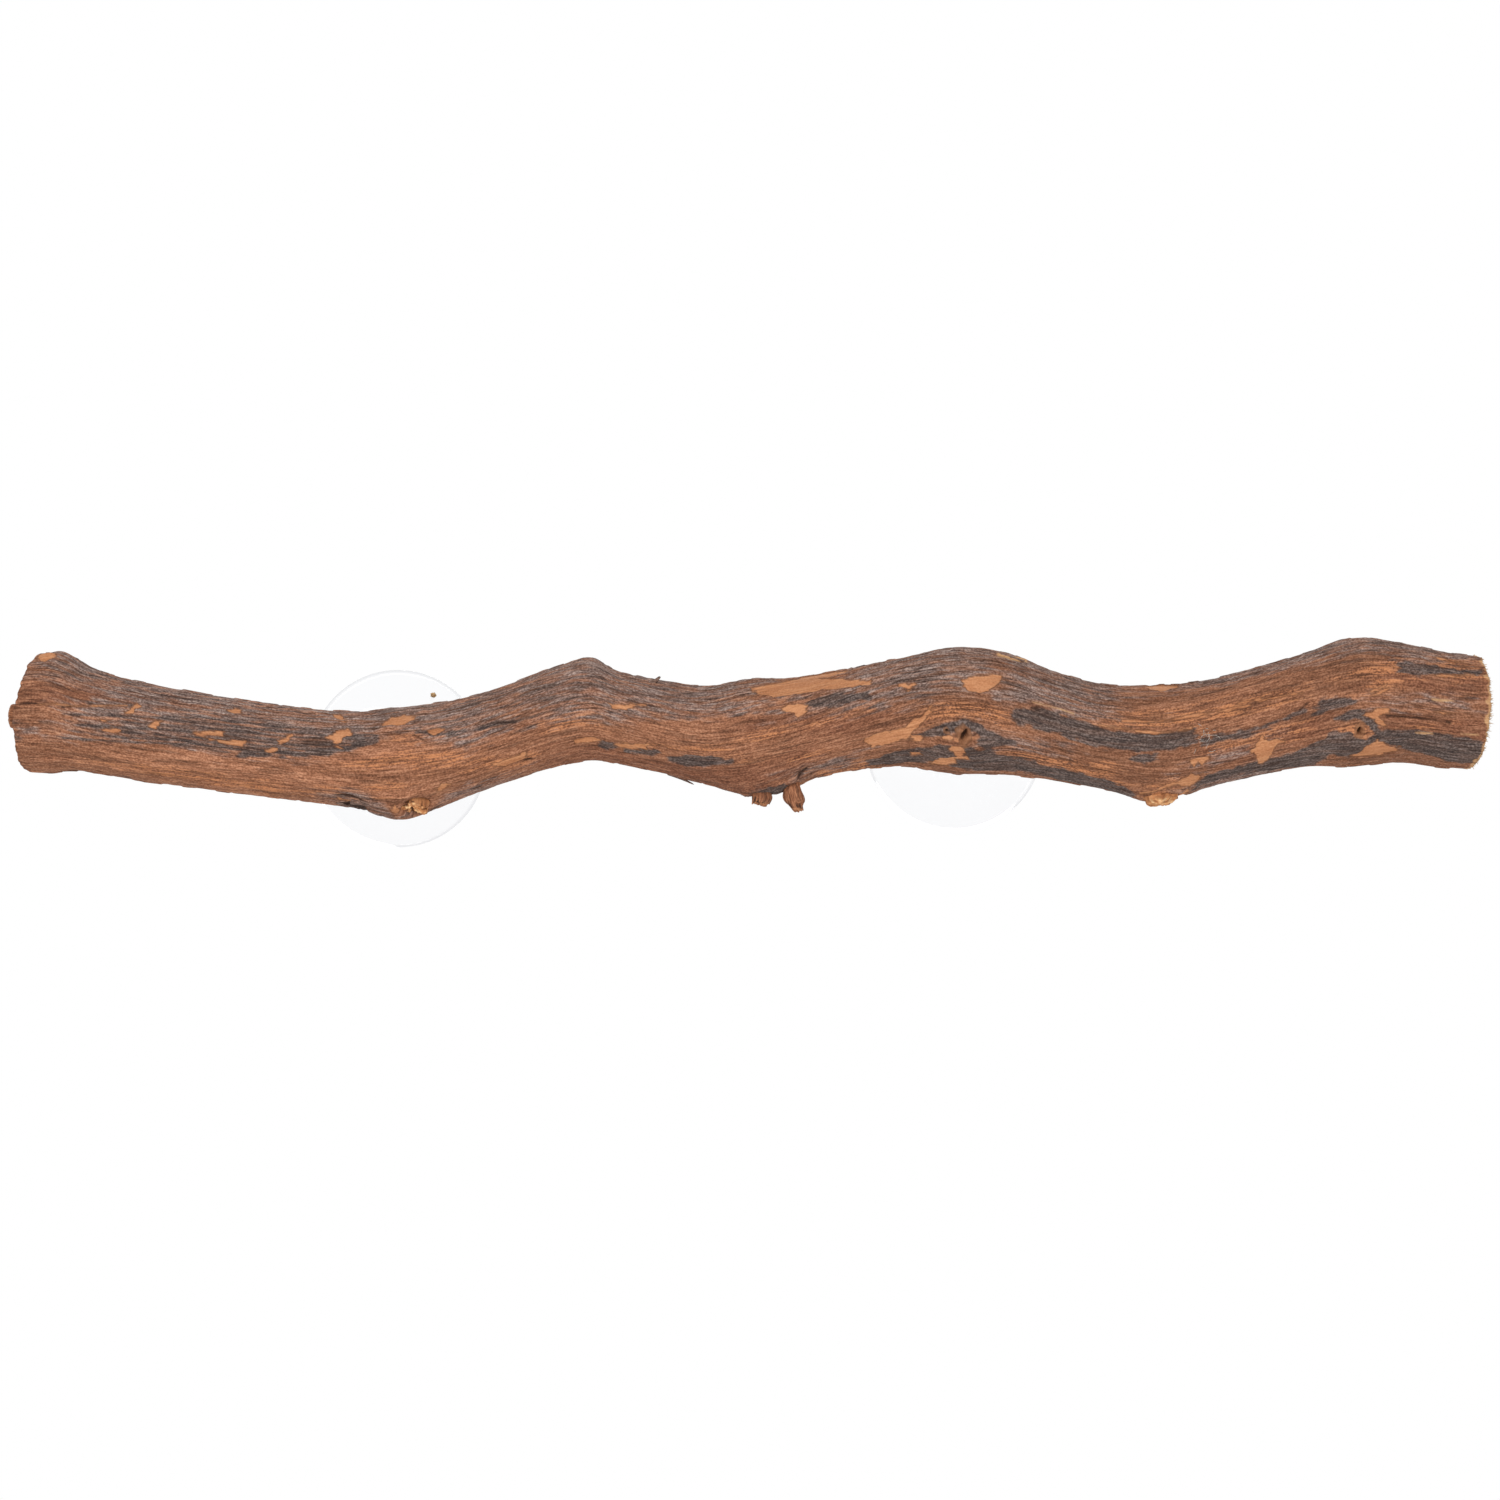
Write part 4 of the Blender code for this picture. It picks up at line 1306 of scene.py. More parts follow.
@dataclass(frozen=True)
class SawnFinish:
    """Sawn end of the stem: uneven growth rings round the pith, drying cracks, rays and saw marks."""

    early: Triple = (0.560, 0.345, 0.185)
    late: Triple = (0.360, 0.185, 0.090)
    heart: Triple = (0.240, 0.110, 0.055)
    crack: Triple = (0.070, 0.035, 0.020)
    pith: Span = (-28.6 * MM, 9.6 * MM)
    counts: Span = (2400.0, 1500.0)
    roughness: Span = (0.75, 0.92)
    bump: float = 0.7
    slow: Cloud = Cloud((60.0, 130.0, 130.0), 2.0, span=None)
    ring_spacing: float = 1.3 * MM
    ring_wave: float = 6.0
    late_span: Span = (0.15, 0.98)
    tone_shares: Shares = (0.6, 0.4)
    heart_edge: Span = (7.5 * MM, 4.5 * MM)
    heart_wave: float = 4 * MM
    heart_share: float = 0.7
    # Drying cracks: their counts round and along the radius, how thin they are, and where they end
    rays: Cloud = Cloud((1.0, 1.0, 1.0), 3.0, span=None)
    ray_counts: Span = (2.2, 60.0)
    ray_edge: Span = (0.0, 0.022)
    ray_reach: Span = (10 * MM, 3 * MM)
    ray_share: float = 0.9
    line_share: float = 0.45
    saw_shares: Shares = (900.0, 1.5)
    height_shares: Shares = (0.3, 0.6, 0.3, -0.9)

    def material(self, grain: NodeTree) -> Material:
        """Build the material.

        Args:
            grain: the shared fibre group.

        Returns:
            A material on Object coordinates, centred on the pith.
        """
        material, nodes = new_material("sawn_wood")
        place = nodes.place()
        off_pith = {"Vector": place, "Location": (0.0, -self.pith[0], -self.pith[1])}
        centred = nodes.add("ShaderNodeMapping", off_pith).outputs[0]
        apart = nodes.add("ShaderNodeSeparateXYZ", {0: centred}).outputs
        across = nodes.combine(0.0, apart[1], apart[2])
        radius = nodes.add("ShaderNodeVectorMath", {0: across}, operation="LENGTH").outputs["Value"]
        slow = nodes.noise(place, self.slow)
        rings = nodes.math("FRACT", nodes.total((1 / self.ring_spacing, self.ring_wave), radius, slow))
        fibres = place_grain(nodes, grain, place, self.counts)
        tone = nodes.total(self.tone_shares, nodes.rescale(rings, self.late_span), fibres["Fine"])
        colour = nodes.ramp(tone, ((0.1, self.early), (0.9, self.late)))
        inner = nodes.total((1.0, self.heart_wave), radius, slow)
        core = nodes.rescale(inner, self.heart_edge, (0.0, self.heart_share))
        colour = nodes.blend(core, colour, self.heart)

        angle = nodes.math("ARCTAN2", apart[2], apart[1])
        spokes = [nodes.product(*pair) for pair in zip((angle, radius), self.ray_counts)]
        rays = nodes.off_middle(nodes.noise(nodes.combine(*spokes), self.rays))
        thin = nodes.rescale(rays, self.ray_edge, (1.0, 0.0))
        checks = nodes.product(thin, nodes.rescale(radius, self.ray_reach, (0.0, self.ray_share)))
        dark = nodes.math("MAXIMUM", checks, nodes.product(fibres["Lines"], self.line_share))
        saw = nodes.math("PINGPONG", nodes.total(self.saw_shares, apart[2], slow), 0.5)
        colour = nodes.blend(dark, colour, self.crack)
        rough = nodes.rescale(tone, TONE_SPAN, self.roughness)
        height = nodes.total(self.height_shares, rings, fibres["Height"], saw, checks)
        nodes.finish(colour, rough, height, self.bump, DULL)
        return material


@dataclass(frozen=True)
class ClearFinish:
    """Clear soft PVC, very slightly grey, a little darker in the thick lip."""

    body: Triple = (0.972, 0.974, 0.984)
    lip: Triple = (0.865, 0.870, 0.885)
    ior: float = 1.46
    roughness: Span = (0.03, 0.07)
    bump: float = 0.03
    flow: Cloud = Cloud((180.0, 180.0, 180.0), 2.0, span=None)
    flow_span: Span = (0.3, 0.7)

    def material(self) -> Material:
        """Build the material.

        Returns:
            A transmitting material that reads the vertices' lip value, with faint flow marks in its surface.
        """
        material, nodes = new_material("clear_pvc")
        flow = nodes.noise(nodes.place(), self.flow)
        colour = nodes.blend(nodes.attribute("lip"), self.body, self.lip)
        rough = nodes.rescale(flow, self.flow_span, self.roughness)
        nodes.finish(colour, rough, flow, self.bump, {"Transmission Weight": 1.0, "IOR": self.ior})
        return material


@dataclass(frozen=True)
class ZincFinish:
    """Bright zinc plate with a fine uneven grain and a thread's turns along the shank."""

    light: Triple = (0.70, 0.71, 0.72)
    dark: Triple = (0.46, 0.47, 0.49)
    pitch: float = 0.7 * MM
    roughness: Span = (0.25, 0.45)
    bump: float = 0.6
    speck: Cloud = Cloud((900.0, 900.0, 900.0), 3.0, span=None)

    def material(self) -> Material:
        """Build the material.

        Returns:
            A metallic material on Object coordinates.
        """
        material, nodes = new_material("zinc")
        place = nodes.place()
        speck = nodes.noise(place, self.speck)
        along = nodes.add("ShaderNodeSeparateXYZ", {0: place}).outputs[1]
        turns = nodes.math("PINGPONG", nodes.math("DIVIDE", along, self.pitch), 0.5)
        colour = nodes.blend(speck, self.dark, self.light)
        rough = nodes.rescale(speck, TONE_SPAN, self.roughness)
        nodes.finish(colour, rough, turns, self.bump, {"Metallic": 1.0})
        return material


@dataclass(frozen=True)
class KnotForm:
    """A torn side shoot, which leaves the stem at a share of its length and an angle.

    Stretch widens it along the stem, slant slopes its end, bend carries its end along the stem, tear roughens
    the end, dome rounds it out or hollows it, lump makes its side uneven and swell thickens its middle.
    Socket sinks the bark inside it, and collar raises the bark round it.
    """

    node: str
    share: float
    angle: float
    base_radius: float
    end_radius: float
    stands_out: float
    stretch: float = 1.0
    slant: float = 0.0
    bend: float = 0.0
    tear: float = 0.5 * MM
    dome: float = 0.5 * MM
    lump: float = 0.12
    swell: float = 0.0
    socket: float = 0.0
    collar: float = 0.0
    golden: bool = False
    seed: int = 41


KNOT_FORMS = (
    KnotForm(
        "left_knot", 0.2625, math.radians(146), 2.9 * MM, 2.5 * MM, stands_out=0.3 * MM, stretch=1.4,
        slant=0.10, tear=1.3 * MM, dome=-0.3 * MM, lump=0.16, socket=1.4 * MM, collar=0.4 * MM, golden=True,
    ),
    KnotForm(
        "middle_stub_left", 0.501, math.radians(172), 3.2 * MM, 2.6 * MM, stands_out=1.7 * MM, slant=0.14,
        bend=-0.4 * MM, tear=1.0 * MM, dome=0.7 * MM, lump=0.30, collar=0.4 * MM, seed=42,
    ),
    KnotForm(
        "middle_stub_right", 0.5225, math.radians(168), 2.2 * MM, 1.9 * MM, stands_out=6.2 * MM,
        bend=1.3 * MM, tear=0.8 * MM, dome=1.1 * MM, lump=0.26, swell=0.30, collar=0.3 * MM, seed=43,
    ),
    KnotForm(
        "right_knot", 0.776, math.radians(164), 4.0 * MM, 2.8 * MM, stands_out=0.9 * MM, stretch=1.6,
        slant=-0.26, tear=0.5 * MM, dome=1.6 * MM, lump=0.16, collar=0.4 * MM, golden=True, seed=44,
    ),
)


@dataclass
class Bark:
    """The bark's outer surface: rings along the stem, with every layer cut into it as relief."""

    stem: Stem
    view: PhotoView
    ledge: Ledge = Ledge()
    fissures: Fissures = Fissures()
    stretches: int = 4
    rows: int = 320
    columns: int = 300
    thickness: float = 2.1 * MM
    deepest: float = 0.85
    rim_insets: Shares = (2.1 * MM, 1.4 * MM, 0.7 * MM, 0.15 * MM)
    seat_radius: float = 5.3 * MM
    seat_floor: float = -21.25 * MM
    seat_wall: float = 0.35 * MM
    seat_gap: float = 0.02 * MM
    fibre_rise: float = 0.22 * MM
    ridge_rise: float = 0.16 * MM
    ridge_level: float = 0.3
    lump_rise: float = 0.26 * MM
    skin_rise: float = 0.10 * MM
    scale_rise: float = 0.24 * MM
    scale_span: Span = (0.28, 0.42)
    # How much bare wood and charcoal plates calm the relief, and the fibre value's middle and its two shares
    bare_calm: float = 0.75
    char_calm: float = 0.25
    # The fibre value rises and falls with the relief, so it paints shade into the low places and light onto the
    # ridges
    tone: Triple = (0.5, 0.6, 0.25)
    saw_rough: float = 0.45 * MM
    saw_reach: float = 1.2 * MM
    pale_edge: float = 1.0 * MM
    pale_uneven: float = 0.9 * MM
    pale_soft: float = 0.5 * MM
    pale_share: float = 0.85
    # Places of a knot's dark seam, socket and collar, in its own radii, with the collar's half width
    seam_place: float = 1.08
    socket_place: float = 1.05
    collar: Span = (1.35, 0.4)
    seam_half: float = 0.35 * MM
    seam_soft: float = 0.25 * MM
    seam_gaps: Span = (-0.7, 0.1)
    seam_share: float = 0.85
    socket_slope: Span = (-0.2 * MM, 0.4 * MM)
    knot_depth: float = 8 * MM
    patch_end: float = 0.2 * MM
    back_span: Span = (1.62, 1.95)
    back_fade: float = 12 * MM
    wander: float = 0.9 * MM
    twist_steps: int = 600

    # How steeply the fibres wind round the stem: pixel column and slope
    TWIST = ((0, 0.0), (670, 0.0), (730, 0.15), (880, 0.15), (940, 0.0))
    # How light the brown is, from the left to the right: pixel column and factor
    LIGHT = (
        (0, 0.92), (110, 1.06), (300, 1.08), (560, 1.0), (860, 0.95), (960, 0.81), (1110, 0.81), (1250, 0.94),
        (1400, 0.84),
    )
    # Noises of the fibres' course, the patches' edges and the relief
    COURSE = Streak(38 * MM, 11 * MM, 1)
    TEARS = (Streak(5.5 * MM, 0.9 * MM, 11, 0.55), Streak(2.2 * MM, 0.45 * MM, 12, 0.45))
    CHIPS = Streak(1.6 * MM, 1.2 * MM, 13)
    SHORT_FIBRES = Streak(3.2 * MM, 0.50 * MM, 33, 0.55)
    FIBRES = (Streak(16 * MM, 1.5 * MM, 31, 0.25), Streak(7 * MM, 0.8 * MM, 32, 0.35), SHORT_FIBRES)
    RIDGES = Streak(22 * MM, 2.4 * MM, 34)
    LUMPS = Streak(26 * MM, 9 * MM, 35)
    SAW_MARKS = Streak(2 * MM, 1.3 * MM, 37)
    SCALES = Streak(4.5 * MM, 1.3 * MM, 38)
    # The back's patches: each noise's stretch along and across, its step in seeds and its share
    BACK_NOISES = ((1.0, 1.0, 0, 1.0), (0.35, 0.40, 40, 0.40), (4.5, 3.0, 80, 0.35))

    def __post_init__(self) -> None:
        """Lay out the rows and columns of the surface."""
        count = self.stretches * self.rows
        ends = len(self.rim_insets)
        rim = np.array(self.rim_insets)
        shares = np.concatenate([np.zeros(ends), np.linspace(0, 1, count + 1), np.ones(ends)])[:, None]
        self.inset = np.concatenate([rim, np.zeros(count + 1), rim[::-1]])[:, None]
        angles = circle(self.columns)[None, :]
        self.share, self.angle = np.broadcast_arrays(shares, angles)
        self.mean = self.stem.points(self.share, self.angle, np.zeros(self.share.shape))
        self.x = self.mean[..., 0]
        self.v = (np.mod(1.5 * np.pi - self.angle, 2 * np.pi) - np.pi) * self.stem.wrap_radius
        self.flow = self._flow()

    def _flow(self) -> Array:
        """The fibres' own coordinate round the stem.

        It is the distance round the stem, wandering a little, and held back near each knot, so that they part
        and close round it.

        Returns:
            Distances in metres for each place of the grid.
        """
        flow = self.v + self.wander * self.noise(self.COURSE, self.v)
        x = np.linspace(self.x.min(), self.x.max(), self.twist_steps)
        turned = np.cumsum(self.view.along(x, self.TWIST)) * (x[1] - x[0])
        flow = flow - np.interp(self.x, x, turned)
        for knot in PARTINGS:
            x, around = self.view.around(knot.column, knot.row)
            away = self.v - around
            near = np.exp(-(((self.x - x) / knot.reach) ** 2) - (away / knot.spread) ** 2)
            flow = flow - knot.pull * away * near
        return flow

    def noise(self, streak: Streak, around: Array | None = None) -> Array:
        """Noise from -1 to 1 that winds with the fibres, or that lies at given distances round the stem."""
        first, second = self.stem.ring(self.flow if around is None else around)
        return Noise(streak.seed).at(self.x / streak.along, first / streak.across, second / streak.across)

    def mix(self, *streaks: Streak) -> Array:
        """A sum of noises, each times its share."""
        return sum(streak.share * self.noise(streak) for streak in streaks)

    def layer_field(self, layer: Layer, torn: Array) -> Array:
        """How deep inside a layer's patches each place lies.

        Each mark's edges become curves round the stem, and the depth is the distance to the nearer edge or
        end. The unseen back gets patches where the sum of three noises passes a level: a slow one, a finer
        one for uneven outlines and a slower one that gathers them.

        Args:
            layer: the layer.
            torn: how far a ragged edge lies out of its line, in metres.

        Returns:
            Distances in metres, negative outside.
        """
        form = LAYER_FORMS[layer]
        back = form.back
        patch = self.mix(*(
            Streak(long * back.along, wide * back.across, back.seed + step, share)
            for long, wide, step, share in self.BACK_NOISES
        ))
        front = 1 - ease(np.abs(self.v) / self.stem.wrap_radius, *self.back_span)
        depth = (patch - form.level) * form.gain - front * self.back_fade + torn
        for mark in (mark for mark in MARKS if mark.layer is layer):
            column, upper, lower = np.array(mark.edges, float).T
            x, top = self.view.around(column, upper)
            _, low = self.view.around(column, lower)
            inside = np.minimum(np.interp(self.x, x, top) - self.v, self.v - np.interp(self.x, x, low))
            ends = form.open * np.minimum(self.x - x[0], x[-1] - self.x) + self.patch_end
            depth = np.maximum(depth, np.minimum(inside, ends) + mark.ragged * torn)
        return depth

    def masks(self) -> dict[Layer, Array]:
        """Each layer's mask, with edges torn along the fibres, the eyes' collars and slits, and fissures.

        Returns:
            Shares from 0 to 1 for each layer.
        """
        torn = self.mix(*self.TEARS)
        chips = self.noise(self.CHIPS, self.v)
        made = {}
        for layer, form in LAYER_FORMS.items():
            field = self.layer_field(layer, form.ragged * torn + form.chipped * chips)
            made[layer] = ease(field, -form.soft, form.soft)

        def cover(layer: Layer, share: Array) -> None:
            """Let a layer show at least by a share."""
            made[layer] = np.maximum(made[layer], share)

        pale = self.pale_edge + self.pale_uneven * chips - (1 - self.share) * self.stem.length
        cover(Layer.STRAW, self.pale_share * ease(pale, 0.0, self.pale_soft))
        for eye in EYES:
            collar, slit = self._eye_distances(eye)
            place, half = eye.ring
            ring = half - np.abs(collar - place) + eye.ring_uneven * chips
            cover(Layer.BARE, eye.ring_share * ease(ring, -eye.ring_soft, eye.ring_soft))
            cover(Layer.CRACK, ease(1.0 - slit + eye.slit_soft * chips, -eye.slit_soft, eye.slit_soft))
        for form in (form for form in KNOT_FORMS if form.socket > 0):
            from_seam = np.abs(self._knot_distance(form) - form.end_radius * self.seam_place)
            seam = ease(self.seam_half - from_seam, 0.0, self.seam_soft) * ease(chips, *self.seam_gaps)
            cover(Layer.CRACK, self.seam_share * seam)
        cover(Layer.CRACK, self._fissure_share(made[Layer.GREY], made[Layer.BARE]))
        return made

    def _fissure_share(self, grey: Array, bare: Array) -> Array:
        """How dark the fissures are: more on grey skin, and none on bare wood.

        Args:
            grey: the grey skin's mask.
            bare: the bare wood's mask.

        Returns:
            Shares from 0 to 1.
        """
        lines = self.fissures
        share = ease(lines.half - np.abs(self.noise(lines.path)), 0.0, lines.soft)
        share = share * ease(self.noise(lines.breaks), *lines.gaps)
        return lines.share * (share * (lines.on_brown + lines.more_on_grey * grey) * (1 - bare))

    def _eye_distances(self, eye: Eye) -> Pair:
        """Distances from an eye's middle, in shares of its collar's and of its slit's half sizes.

        Args:
            eye: the eye.

        Returns:
            The collar's and the slit's distances. The slit is an ellipse turned by the eye's tilt.
        """
        x, around = self.view.around(eye.column, eye.row)
        along, up = (self.x - x) / self.view.pixel, (self.v - around) / self.view.pixel
        short = along * math.cos(eye.tilt) - up * math.sin(eye.tilt)
        long = along * math.sin(eye.tilt) + up * math.cos(eye.tilt)
        collar = np.hypot(along / eye.half_wide, up / eye.half_high)
        return collar, np.hypot(short / eye.slit_wide, long / eye.slit_high)

    def _knot_distance(self, form: KnotForm) -> Array:
        """Distance of the surface from a knot's axis, large on the far side of the stem.

        Args:
            form: the knot.

        Returns:
            Distances in metres, in which a length along the stem is divided by the knot's stretch.
        """
        point, out = self.stem.leaving(form.share, form.angle)
        offset = self.mean - point
        along = offset @ out
        flat = offset - along[..., None] * out
        apart = np.sqrt((flat[..., 0] / form.stretch) ** 2 + flat[..., 1] ** 2 + flat[..., 2] ** 2)
        return np.where(along > -self.knot_depth, apart, 1.0)

    def relief(self, masks: dict[Layer, Array]) -> Pair:
        """The bark's height over its mean surface: fibres, ridges and slow lumps, then every layer's depth.

        Args:
            masks: each layer's mask.

        Returns:
            Heights in metres, and the fibre value from 0 to 1 that colours follow: painted shade where the
            relief is low and painted highlight on its ridges.
        """
        fibre = self.mix(*self.FIBRES)
        ridges = -np.abs(self.noise(self.RIDGES))
        calm = 1 - self.bare_calm * masks[Layer.BARE] - self.char_calm * masks[Layer.CHAR]
        rise = calm * (self.fibre_rise * fibre + self.ridge_rise * (ridges + self.ridge_level))
        rise = rise + self.lump_rise * self.noise(self.LUMPS)
        rise = rise + self.skin_rise * masks[Layer.GREY] * self.noise(self.SHORT_FIBRES)
        rise = rise + self.scale_rise * calm * ease(self.noise(self.SCALES), *self.scale_span)
        for layer, form in LAYER_FORMS.items():
            rise = rise + form.rise * masks[layer]
        for eye in EYES:
            collar, slit = self._eye_distances(eye)
            rise = rise + eye.ring_rise * bell(collar, *eye.crest)
            rise = rise - eye.hole_depth * ease(eye.reach - slit, *eye.slope)
        for bump in BUMPS:
            x, around = self.view.around(bump.column, bump.row)
            along, up = (self.x - x) / bump.half_wide, (self.v - around) / bump.half_high
            rise = rise + bump.rise * np.exp(-((np.hypot(along, up) / self.view.pixel) ** 3))
        for form in KNOT_FORMS:
            apart = self._knot_distance(form)
            rise = rise + form.collar * bell(apart / form.base_radius, *self.collar)
            rise = rise - form.socket * ease(form.end_radius * self.socket_place - apart, *self.socket_slope)
        rise = np.maximum(rise + self._ledge_rise(), -self.deepest * self.thickness)
        middle, by_fibre, by_ridges = self.tone
        return rise, np.clip(middle + by_fibre * fibre + by_ridges * ridges, 0, 1)

    def _ledge_rise(self) -> Array:
        """The broken plate's height: a rise that fades to its left and ends in a step down on its right.

        Returns:
            Heights in metres, zero away from the underside.
        """
        ledge = self.ledge
        edge, _ = self.view.on_stem(ledge.column, ledge.row)
        past = self.x - (edge + ledge.wander * self.noise(ledge.edge))
        under = ease(self.angle, *ledge.front) * (1 - ease(self.angle, *ledge.back))
        left = bell(self.x, edge, ledge.reach) * (1 - ease(past, *ledge.step))
        right = bell(self.x, edge, 2 * ledge.reach) * (1 - ease(-past, *ledge.step))
        return under * (ledge.rise * left + ledge.drop * right)

    def build(self, material: Material) -> list[Object]:
        """Work out the relief and make the bark's stretches.

        Args:
            material: the bark's finish.

        Returns:
            The pieces, from left to right.
        """
        masks = self.masks()
        rise, fibre = self.relief(masks)
        points = self.stem.points(self.share, self.angle, rise * (self.inset == 0) - self.inset)
        near_cut = np.exp(-np.minimum(self.share, 1 - self.share) * self.stem.length / self.saw_reach)
        rough = self.saw_rough * self.noise(self.SAW_MARKS, self.v) * near_cut
        points[..., 0] += rough * (self.inset < self.rim_insets[0])
        self._sink_seats(points)
        attributes = {layer.value: mask for layer, mask in masks.items()}
        # The fibre value carries painted shade and highlight that follow the relief
        attributes["fibre"] = fibre
        attributes["light"] = self.view.along(self.x, self.LIGHT)
        attributes["grain"] = np.stack([self.x + 2 * self.inset, *self.stem.ring(self.flow)], axis=-1)
        normals = unit(np.cross(np.roll(points, -1, 1) - np.roll(points, 1, 1), np.gradient(points, axis=0)))
        total, columns = points.shape[:2]
        cuts = [len(self.rim_insets) + k * self.rows for k in range(1, self.stretches)]
        pieces = []
        for number, (start, stop) in enumerate(zip([0, *cuts], [*cuts, total - 1]), 1):
            faces = grid_faces(stop - start + 1, columns, closed=False) + start * columns
            pieces.append(make_piece(f"bark_stretch_{number}", points, faces, material, attributes, normals))
        return pieces

    def _sink_seats(self, points: Array) -> None:
        """Sink the drilled seats into the stem's back: points in a seat's circle go to its wall or its floor.

        Args:
            points: the surface's grid of points, changed in place.
        """
        for node in ("left_suction_cup", "right_suction_cup"):
            low, high = node_corners(node)
            middle = ((low + high) / 2)[[0, 2]]
            offset = points[..., [0, 2]] - middle
            apart = np.linalg.norm(offset, axis=-1)
            inside = (apart < self.seat_radius) & (self.angle > np.pi) & (points[..., 1] > self.seat_floor)
            wall = self.seat_radius - self.seat_wall
            target = apart * (self.seat_radius - self.seat_gap) / wall
            target = np.where(apart > wall, self.seat_radius, target)
            moved = middle + offset * (target / np.maximum(apart, TINY))[..., None]
            for axis, column in ((0, 0), (2, 1)):
                points[..., axis] = np.where(inside, moved[..., column], points[..., axis])
            points[..., 1] = np.where(inside & (apart <= wall), self.seat_floor, points[..., 1])


@dataclass
class Knots:
    """The torn ends of the side shoots and the nub on the left cut."""

    stem: Stem
    root_depth: float = 6.8 * MM
    root_rows: int = 4
    side_rows: int = 40
    end_rows: int = 26
    columns: int = 84
    least_height: float = 1.0 * MM
    end_span: Span = (0.86, 1.0)
    # The noises' cells along the side and round it, their cells on the end, and their places
    lump_length: float = 2.6 * MM
    lump_turns: float = 1.4
    ridge_length: float = 3.5 * MM
    ridge_turns: float = 5.5
    ridge_place: float = 40.0
    ridge_rise: float = 0.04
    fibre_cell: float = 0.5 * MM
    fibre_place: float = 7.0
    chunk_cell: float = 1.5 * MM
    chunk_place: float = 3.0
    # Fibres' and chunks' shares in the tear and the hollows' painted shade, the dome's level, the bend's limit
    # and the skin
    fibre_tear: float = 0.5
    chunk_tear: float = 0.7
    fibre_hollow_shade: float = 0.8
    chunk_hollow_shade: float = 0.5
    hollow_shade_span: Span = (-0.05, 0.28)
    hollow_shade_tear: Span = (0.2 * MM, 0.9 * MM)
    dome_level: float = 0.4
    bend_limit: float = 1.3
    skin_loss: float = 0.9
    skin_edge: float = 1.02
    skin_soft: float = 0.12
    skin_uneven: float = 0.15
    nub_taper: float = 0.94
    nub_room: float = 0.7 * MM

    def build(self, golden: Material, torn: Material) -> list[Object]:
        """Make every knot and the nub.

        Args:
            golden: finish of the pale broken ends.
            torn: finish of the browner stubs.

        Returns:
            The pieces, each in place of its own node.
        """
        pieces = []
        for form in KNOT_FORMS:
            place, out = self.stem.leaving(form.share, form.angle)
            pieces.append(self._plug(form, place, out, ALONG_STEM, golden if form.golden else torn))
        low, high = node_corners("end_nub")
        radius = (high[2] - low[2]) / 2
        nub = KnotForm(
            "end_nub", 0.0, 0.0, radius, self.nub_taper * radius, stands_out=0.0, tear=0.25 * MM,
            dome=1.3 * MM, lump=0.06, seed=45,
        )
        tip = (low + high) / 2
        tip[0] = low[0] + self.nub_room
        pieces.append(self._plug(nub, tip, -ALONG_STEM, UPWARDS, torn))
        return pieces

    def _plug(self, form: KnotForm, surface: Array, out: Array, side: Array, material: Material) -> Object:
        """A plug whose side tapers outwards and whose end is torn into fibres.

        The side's radius goes evenly from the base to the end, made uneven by noise. The end is a dome or a
        hollow, with noise along the axis for torn fibres. The root is closed inside the stem.

        Args:
            form: the plug's sizes.
            surface: where its axis leaves the bark.
            out: its direction.
            side: the direction that it is stretched, sloped and bent along.
            material: its finish.

        Returns:
            The piece.
        """
        noise = Noise(form.seed)
        turn = circle(self.columns)[None, :]
        cosine, sine = np.cos(turn), np.sin(turn)
        root, sides, end = self.root_rows, self.side_rows, self.end_rows
        along = np.concatenate([np.zeros(root), np.linspace(0, 1, sides), np.ones(end)])[:, None]
        inner = [np.linspace(0, 1, root, endpoint=False), np.ones(sides), np.linspace(1, 0, end + 1)[1:]]
        inner = np.concatenate(inner)[:, None]
        at_end = ease(along, *self.end_span)
        height = max(form.stands_out, self.least_height)
        length = along * (self.root_depth + form.stands_out)
        lump = noise.at(self.lump_turns * cosine, self.lump_turns * sine, length / self.lump_length)
        ridge_x = self.ridge_turns * cosine + self.ridge_place
        ridge = noise.at(ridge_x, self.ridge_turns * sine, length / self.ridge_length)
        swell = form.swell * np.sin(np.pi * np.clip((length - self.root_depth) / height, 0, 1))
        radius = form.base_radius + (form.end_radius - form.base_radius) * along
        radius = radius * (1 + form.lump * lump + self.ridge_rise * ridge + swell) * inner
        flat_x, flat_y = radius * cosine, radius * sine

        fibre = noise.at(flat_x / self.fibre_cell, flat_y / self.fibre_cell, self.fibre_place)
        chunk = noise.at(flat_x / self.chunk_cell, flat_y / self.chunk_cell, self.chunk_place)
        ragged = form.tear * (self.fibre_tear * fibre + self.chunk_tear * chunk) * at_end
        dome = form.dome * (np.sqrt(np.clip(1 - inner**2, 0, 1)) - self.dome_level) * at_end
        reach = length - self.root_depth + ragged + dome + form.slant * flat_x * at_end
        bend = form.bend * np.clip(reach / height, 0, self.bend_limit) ** 2
        across = (flat_x * form.stretch + bend)[..., None] * side + flat_y[..., None] * np.cross(out, side)
